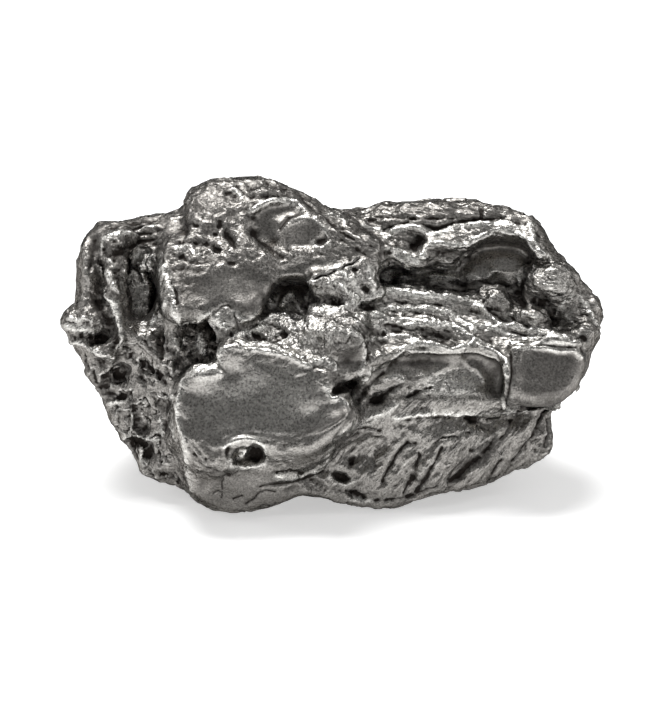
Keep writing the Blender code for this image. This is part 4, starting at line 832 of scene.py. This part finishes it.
def skin_relief(finish):
    """Geometry Nodes that work lumps, streaks and etched pits into the skin, by its attributes."""
    tree = bpy.data.node_groups.new("skin relief", "GeometryNodeTree")
    face = tree.interface
    face.new_socket("Geometry", in_out="INPUT", socket_type="NodeSocketGeometry")
    for name, value in RELIEF.items():
        socket = face.new_socket(name, in_out="INPUT", socket_type="NodeSocketFloat")
        socket.default_value = value
    face.new_socket("Geometry", in_out="OUTPUT", socket_type="NodeSocketGeometry")
    given = add_node(tree, "NodeGroupInput").outputs
    place = add_node(tree, "GeometryNodeInputPosition").outputs[0]
    in_mm = add_node(tree, "ShaderNodeVectorMath", {"operation": "SCALE", "Scale": 1 / MM},
                     Vector=place).outputs[0]
    marks = {}
    for name in ("rough", "slanted", "pitted", "streaky"):
        marks[name] = add_node(tree, "GeometryNodeInputNamedAttribute",
                               {"data_type": "FLOAT", "Name": name}).outputs[0]
    every = {}
    for name in ("Lump", "Streak", "Grain", "Pit"):
        every[name] = add_node(tree, "ShaderNodeMath", {"operation": "DIVIDE", 0: 1.0},
                               _1=given[name + " Spacing"]).outputs[0]
    lumps = add_node(tree, "ShaderNodeTexNoise", {"Detail": 2.0, "Roughness": 0.5, "Distortion": 0.4},
                     Vector=in_mm, Scale=every["Lump"]).outputs[0]
    grain = add_node(tree, "ShaderNodeTexNoise", {"Detail": 1.0, "Roughness": 0.5, "Distortion": 0.6},
                     Vector=in_mm, Scale=every["Grain"]).outputs[0]
    turn = add_node(tree, "ShaderNodeMix", {"data_type": "FLOAT", 2: STREAK_TURN, 3: SLANT_TURN},
                    _0=marks["slanted"]).outputs[0]
    turned = add_node(tree, "ShaderNodeVectorRotate", {"rotation_type": "Y_AXIS", "invert": True},
                      Vector=in_mm, Angle=turn).outputs[0]
    way = add_node(tree, "ShaderNodeVectorMath", {"operation": "MULTIPLY", 1: (0.28, 0.6, 1.0)},
                   _0=turned).outputs[0]
    streaks = add_node(tree, "ShaderNodeTexNoise", {"Detail": 1.0, "Roughness": 0.5, "Distortion": 0.5},
                       Vector=way, Scale=every["Streak"]).outputs[0]
    bend = add_node(tree, "ShaderNodeTexNoise", {"Scale": 0.9, "Detail": 2.0}, Vector=in_mm).outputs[1]
    shift = add_node(tree, "ShaderNodeVectorMath", {"operation": "SCALE", "Scale": 1.6},
                     Vector=bend).outputs[0]
    warped = add_node(tree, "ShaderNodeVectorMath", {"operation": "ADD"}, _0=in_mm, _1=shift).outputs[0]
    cells = add_node(tree, "ShaderNodeTexVoronoi", {"Randomness": 1.0}, Vector=warped, Scale=every["Pit"])
    chance = add_node(tree, "ShaderNodeSeparateXYZ", _0=cells.outputs["Color"]).outputs[0]
    reach = add_node(tree, "ShaderNodeMapRange",
                     {"From Min": 0.35, "From Max": 1.0, "To Min": 0.0, "To Max": 0.5},
                     Value=chance).outputs[0]
    hole = add_node(tree, "ShaderNodeMapRange",
                    {"interpolation_type": "SMOOTHSTEP", "To Min": -1.0, "To Max": 0.0},
                    Value=cells.outputs["Distance"], From_Max=reach).outputs[0]
    heights = []
    for name, source in (("Lump Height", lumps), ("Streak Height", streaks), ("Grain Height", grain)):
        centred = add_node(tree, "ShaderNodeMath", {"operation": "SUBTRACT", 1: 0.5}, _0=source).outputs[0]
        if name != "Lump Height":
            away = add_node(tree, "ShaderNodeMath", {"operation": "ABSOLUTE"}, _0=centred).outputs[0]
            centred = add_node(tree, "ShaderNodeMath", {"operation": "MULTIPLY_ADD", 1: -2.0, 2: 0.2},
                               _0=away).outputs[0]
        scaled = add_node(tree, "ShaderNodeMath", {"operation": "MULTIPLY"}, _0=centred, _1=given[name])
        heights.append(scaled.outputs[0])
    heights[1] = add_node(tree, "ShaderNodeMath", {"operation": "MULTIPLY"}, _0=heights[1],
                          _1=marks["streaky"]).outputs[0]
    bored = add_node(tree, "ShaderNodeMath", {"operation": "MULTIPLY"}, _0=hole,
                     _1=given["Pit Depth"]).outputs[0]
    pits = add_node(tree, "ShaderNodeMath", {"operation": "MULTIPLY"}, _0=bored, _1=marks["pitted"])
    heights.append(pits.outputs[0])
    total = heights[0]
    for part in heights[1:]:
        total = add_node(tree, "ShaderNodeMath", {"operation": "ADD"}, _0=total, _1=part).outputs[0]
    masked = add_node(tree, "ShaderNodeMath", {"operation": "MULTIPLY"}, _0=total,
                      _1=marks["rough"]).outputs[0]
    in_metres = add_node(tree, "ShaderNodeMath", {"operation": "MULTIPLY", 1: MM}, _0=masked).outputs[0]
    normal = add_node(tree, "GeometryNodeInputNormal").outputs[0]
    push = add_node(tree, "ShaderNodeVectorMath", {"operation": "SCALE"}, Vector=normal,
                    Scale=in_metres).outputs[0]
    moved = add_node(tree, "GeometryNodeSetPosition", Geometry=given["Geometry"], Offset=push).outputs[0]
    real = add_node(tree, "GeometryNodeRealizeInstances", Geometry=moved).outputs[0]
    dressed = add_node(tree, "GeometryNodeSetMaterial", {"Material": finish}, Geometry=real).outputs[0]
    add_node(tree, "NodeGroupOutput", Geometry=dressed)
    return tree


# Widths of the metal's patterns in millimetres: brush grain, blotches of film, etching and streaks.
# The marks of a wire brush are 0.2 to 0.3 mm wide. They are drawn a little coarser, so that they show.
GRAIN_WIDTH = 0.34
BLOTCH_WIDTH = 2.2
ETCH_WIDTH = 0.95
STREAK_WIDTH = 0.62
ETCH_DEPTH = 0.34 * MM
GRAIN_DEPTH = 0.08 * MM


def brushed_nickel_iron():
    """Wire-brushed nickel-iron: cool grey metal with a fine grain, polished bright by the brush on the
    ridges, and a brown-black layer of iron oxide left where the brush didn't reach. Light and shade are
    also painted into its colour: ridges and crest lines are lighter as painted highlights, and hollows,
    grooves and places that the sky doesn't reach are darker as painted shade."""
    material = bpy.data.materials.new("brushed nickel iron")
    material.use_nodes = True
    tree = material.node_tree
    shader = tree.nodes["Principled BSDF"]
    shader.inputs["Specular Tint"].default_value = linear("#3c3c3c")
    place = add_node(tree, "ShaderNodeTexCoord").outputs["Object"]
    in_mm = add_node(tree, "ShaderNodeVectorMath", {"operation": "SCALE", "Scale": 1 / MM},
                     Vector=place).outputs[0]
    marks = {}
    for name in ("open", "bowl", "fine_bowl", "rough", "slanted", "streaky", "polish_and_painted_highlight", "groove_oxide_and_shade"):
        marks[name] = add_node(tree, "ShaderNodeAttribute", {"attribute_name": name}).outputs["Fac"]
    grain = add_node(tree, "ShaderNodeTexNoise",
                     {"Scale": 1 / GRAIN_WIDTH, "Detail": 2.0, "Roughness": 0.7}, Vector=in_mm)
    blotch = add_node(tree, "ShaderNodeTexNoise",
                      {"Scale": 1 / BLOTCH_WIDTH, "Detail": 4.0, "Roughness": 0.65}, Vector=in_mm)
    etch = add_node(tree, "ShaderNodeTexNoise",
                    {"Scale": 1 / ETCH_WIDTH, "Detail": 3.0, "Roughness": 0.55, "Distortion": 1.0},
                    Vector=in_mm)
    turn = add_node(tree, "ShaderNodeMix", {"data_type": "FLOAT", 2: STREAK_TURN, 3: SLANT_TURN},
                    _0=marks["slanted"]).outputs[0]
    turned = add_node(tree, "ShaderNodeVectorRotate", {"rotation_type": "Y_AXIS", "invert": True},
                      Vector=in_mm, Angle=turn).outputs[0]
    way = add_node(tree, "ShaderNodeVectorMath", {"operation": "MULTIPLY", 1: (0.22, 0.6, 1.0)},
                   _0=turned).outputs[0]
    streak = add_node(tree, "ShaderNodeTexNoise",
                      {"Scale": 1 / STREAK_WIDTH, "Detail": 3.0, "Roughness": 0.55, "Distortion": 0.6},
                      Vector=way)
    # Painted shade: places that the sky doesn't reach, by the open attribute, take the brown oxide film
    # colour and less metal, less so where the polish mark lightens them. It stands for real oxide in the
    # hollows and for the shade that falls there.
    occluded_film_and_shade = add_node(tree, "ShaderNodeMapRange", {"From Min": 0.60, "From Max": 0.10, "To Max": 0.85},
                    Value=marks["open"]).outputs[0]
    occluded_film_and_shade = add_node(tree, "ShaderNodeMath", {"operation": "MULTIPLY_ADD", "use_clamp": True, 1: -0.6},
                    _0=marks["polish_and_painted_highlight"], _2=occluded_film_and_shade).outputs[0]
    # Painted shade: hollows over 2 mm and over half a millimetre are darkened in the colour, for the oxide
    # they hold and for the shade that falls in them.
    deep = add_node(tree, "ShaderNodeMapRange", {"From Min": 0.15, "From Max": 1.2, "To Max": 0.8},
                    Value=marks["bowl"]).outputs[0]
    painted_crease_shade = add_node(tree, "ShaderNodeMapRange", {"From Min": 0.15, "From Max": 1.2, "To Max": 0.7},
                    Value=marks["fine_bowl"]).outputs[0]
    etched = add_node(tree, "ShaderNodeMapRange", {"From Min": 0.45, "From Max": 0.32, "To Max": 0.5},
                      Value=etch.outputs[0]).outputs[0]
    lined = add_node(tree, "ShaderNodeMapRange", {"From Min": 0.45, "From Max": 0.32, "To Max": 0.5},
                     Value=streak.outputs[0]).outputs[0]
    worked = add_node(tree, "ShaderNodeMix", {"data_type": "FLOAT"}, _0=marks["streaky"], _2=etched,
                      _3=lined).outputs[0]
    worked = add_node(tree, "ShaderNodeMath", {"operation": "MULTIPLY"}, _0=worked,
                      _1=marks["rough"]).outputs[0]
    broken = add_node(tree, "ShaderNodeMapRange",
                      {"From Min": 0.3, "From Max": 0.7, "To Min": -0.25, "To Max": 0.25},
                      Value=blotch.outputs[0]).outputs[0]
    # Grooves, small pits and filmed places, darkened as oxide and as painted shade.
    groove_oxide_and_shade_share = add_node(tree, "ShaderNodeMath", {"operation": "MULTIPLY", 1: 0.75},
                     _0=marks["groove_oxide_and_shade"]).outputs[0]
    # The mask of dark oxide: random blotches, the etched and streaked dips and the groove mark, with the
    # painted shade of the hollows, less where polished.
    oxide_dirt_and_painted_shade = broken
    for part in (deep, painted_crease_shade, groove_oxide_and_shade_share, worked):
        oxide_dirt_and_painted_shade = add_node(tree, "ShaderNodeMath", {"operation": "ADD"}, _0=oxide_dirt_and_painted_shade, _1=part).outputs[0]
    oxide_dirt_and_painted_shade = add_node(tree, "ShaderNodeMath", {"operation": "MULTIPLY_ADD", 1: -0.6}, _0=marks["polish_and_painted_highlight"],
                    _2=oxide_dirt_and_painted_shade).outputs[0]
    oxide_dirt_and_painted_shade = add_node(tree, "ShaderNodeClamp", Value=oxide_dirt_and_painted_shade).outputs[0]
    # Painted highlight: crests, ridges and the polish mark take the lighter metal colour, for the brush's
    # polish and for the light that they catch.
    crest = add_node(tree, "ShaderNodeMapRange", {"From Min": -0.3, "From Max": -1.7},
                     Value=marks["fine_bowl"]).outputs[0]
    painted_ridge_highlight = add_node(tree, "ShaderNodeMapRange", {"From Min": -0.8, "From Max": -2.4, "To Max": 0.5},
                     Value=marks["bowl"]).outputs[0]
    rubbed_and_painted_highlight = add_node(tree, "ShaderNodeMath", {"operation": "MAXIMUM"}, _0=crest, _1=painted_ridge_highlight).outputs[0]
    rubbed_and_painted_highlight = add_node(tree, "ShaderNodeMath", {"operation": "MAXIMUM"}, _0=rubbed_and_painted_highlight,
                      _1=marks["polish_and_painted_highlight"]).outputs[0]
    patchy = add_node(tree, "ShaderNodeMapRange",
                      {"From Min": 0.35, "From Max": 0.55, "To Min": 0.4, "To Max": 1.0},
                      Value=etch.outputs[0]).outputs[0]
    rubbed_and_painted_highlight = add_node(tree, "ShaderNodeMath", {"operation": "MULTIPLY"}, _0=rubbed_and_painted_highlight, _1=patchy).outputs[0]
    metal = add_node(tree, "ShaderNodeMix",
                     {"data_type": "RGBA", 6: linear("#8b8884"), 7: linear("#dcdad5")}, _0=rubbed_and_painted_highlight)
    speck = add_node(tree, "ShaderNodeMapRange",
                     {"From Min": 0.36, "From Max": 0.64, "To Min": 0.66, "To Max": 1.36},
                     Value=grain.outputs[0]).outputs[0]
    toned = add_node(tree, "ShaderNodeVectorMath", {"operation": "SCALE"}, Vector=metal.outputs[2],
                     Scale=speck)
    # The metal's colour with the film colour mixed in as painted shade where the sky doesn't reach.
    toned_film_and_shade = add_node(tree, "ShaderNodeMix", {"data_type": "RGBA", 7: linear("#58514a")}, _0=occluded_film_and_shade,
                    _6=toned.outputs[0])
    # Dark oxide colour mixed in by that mask, so it carries painted shade as well as oxide.
    oxide = add_node(tree, "ShaderNodeMix", {"data_type": "RGBA", 7: linear("#2b2724")}, _0=oxide_dirt_and_painted_shade,
                     _6=toned_film_and_shade.outputs[2])
    tree.links.new(oxide.outputs[2], shader.inputs["Base Color"])
    cover = add_node(tree, "ShaderNodeMath", {"operation": "MAXIMUM"}, _0=occluded_film_and_shade, _1=oxide_dirt_and_painted_shade).outputs[0]
    dull = add_node(tree, "ShaderNodeMapRange", {"To Min": 1.0, "To Max": 0.45}, Value=cover).outputs[0]
    tree.links.new(dull, shader.inputs["Metallic"])
    gloss = add_node(tree, "ShaderNodeMapRange",
                     {"From Min": 0.3, "From Max": 0.7, "To Min": 0.23, "To Max": 0.36},
                     Value=grain.outputs[0]).outputs[0]
    matt = add_node(tree, "ShaderNodeMix", {"data_type": "FLOAT", 3: 0.55}, _0=oxide_dirt_and_painted_shade, _2=gloss).outputs[0]
    tree.links.new(matt, shader.inputs["Roughness"])
    both = add_node(tree, "ShaderNodeMix", {"data_type": "FLOAT"}, _0=marks["streaky"], _2=etch.outputs[0],
                    _3=streak.outputs[0]).outputs[0]
    cut = add_node(tree, "ShaderNodeMath", {"operation": "MULTIPLY"}, _0=both, _1=marks["rough"]).outputs[0]
    etch_bump = add_node(tree, "ShaderNodeBump", {"Strength": 1.0, "Distance": ETCH_DEPTH}, Height=cut)
    grain_bump = add_node(tree, "ShaderNodeBump", {"Strength": 0.5, "Distance": GRAIN_DEPTH},
                          Height=grain.outputs[0], Normal=etch_bump.outputs[0])
    tree.links.new(grain_bump.outputs[0], shader.inputs["Normal"])
    return material


finish = brushed_nickel_iron()
worn = stone.modifiers.new("skin relief", "NODES")
worn.node_group = skin_relief(finish)
for item in worn.node_group.interface.items_tree:
    if item.name in RELIEF:
        worn[item.identifier] = RELIEF[item.name]
mesh = applied(stone)

# How far each place lies in a hollow or stands on a ridge, over 2 mm and over half a millimetre.
points, edges = mesh_arrays(mesh)
ways = normals_of(mesh)
# The metal darkens the hollows by these values as painted shade, and lightens the ridges as painted
# highlights.
BOWL_GAIN = 4.3
FINE_BOWL_GAIN = 8.7
bowl = BOWL_GAIN * ((blurred(points, edges, 12) - points) * ways).sum(1)
fine_bowl = FINE_BOWL_GAIN * ((blurred(points, edges, 3) - points) * ways).sum(1)
mark(mesh, "bowl", bowl)
mark(mesh, "fine_bowl", fine_bowl)

# Fewer faces, down to the number below. Fewer faces, for the part's limit. What the
# photo doesn't show gives up the most.
FACE_LIMIT = 196000
unseen = stone.vertex_groups.new(name="unseen")
for share in (0.85, 1.0):
    unseen.add(np.flatnonzero((in_sight > SEEN) == (share < 0.9)).tolist(), share, "REPLACE")
thin = stone.modifiers.new("fewer faces", "DECIMATE")
thin.ratio = min(1.0, FACE_LIMIT / (2 * len(mesh.polygons)))
thin.vertex_group = "unseen"
mesh = applied(stone)
mesh.shade_smooth()

# How open each place is to the light: the share of the sky above it that no other part hides.
# The metal paints shade by this value: the less open a place, the darker and duller its colour.
points, edges = mesh_arrays(mesh)
ways = normals_of(mesh)
RAYS = 40
REACH = 30 * MM
RAY_START = 1.2 * MM
coarse_mesh = solid.data
corners = [v.co.copy() for v in coarse_mesh.vertices]
tree = BVHTree.FromPolygons(corners, [list(p.vertices) for p in coarse_mesh.polygons])
sphere = []
for i in range(RAYS):
    z = 1 - (2 * i + 1) / RAYS
    turn = i * math.pi * (3 - math.sqrt(5))
    sphere.append(Vector((math.sqrt(1 - z * z) * math.cos(turn), math.sqrt(1 - z * z) * math.sin(turn), z)))
SAMPLES = 9000
draw = np.random.default_rng(5)
chosen = draw.choice(len(points), SAMPLES, replace=False)
spots = KDTree(SAMPLES)
openness = np.zeros(SAMPLES)
for n, i in enumerate(chosen):
    at, way = Vector(points[i] * MM), Vector(ways[i])
    start = at + way * RAY_START
    free, total = 0.0, 0.0
    for ray in sphere:
        slant = ray.dot(way)
        if slant > 0.05:
            total += slant
            if tree.ray_cast(start, ray, REACH)[0] is None:
                free += slant
    openness[n] = free / total
    spots.insert(at, n)
spots.balance()
found = np.array([
    sum(openness[n] for _, n, _ in spots.find_n(Vector(p), 3)) / 3
    for p in points * MM
])
mark(mesh, "open", blurred(found, edges, 4))


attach(stone, "root")
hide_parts("meteorite")
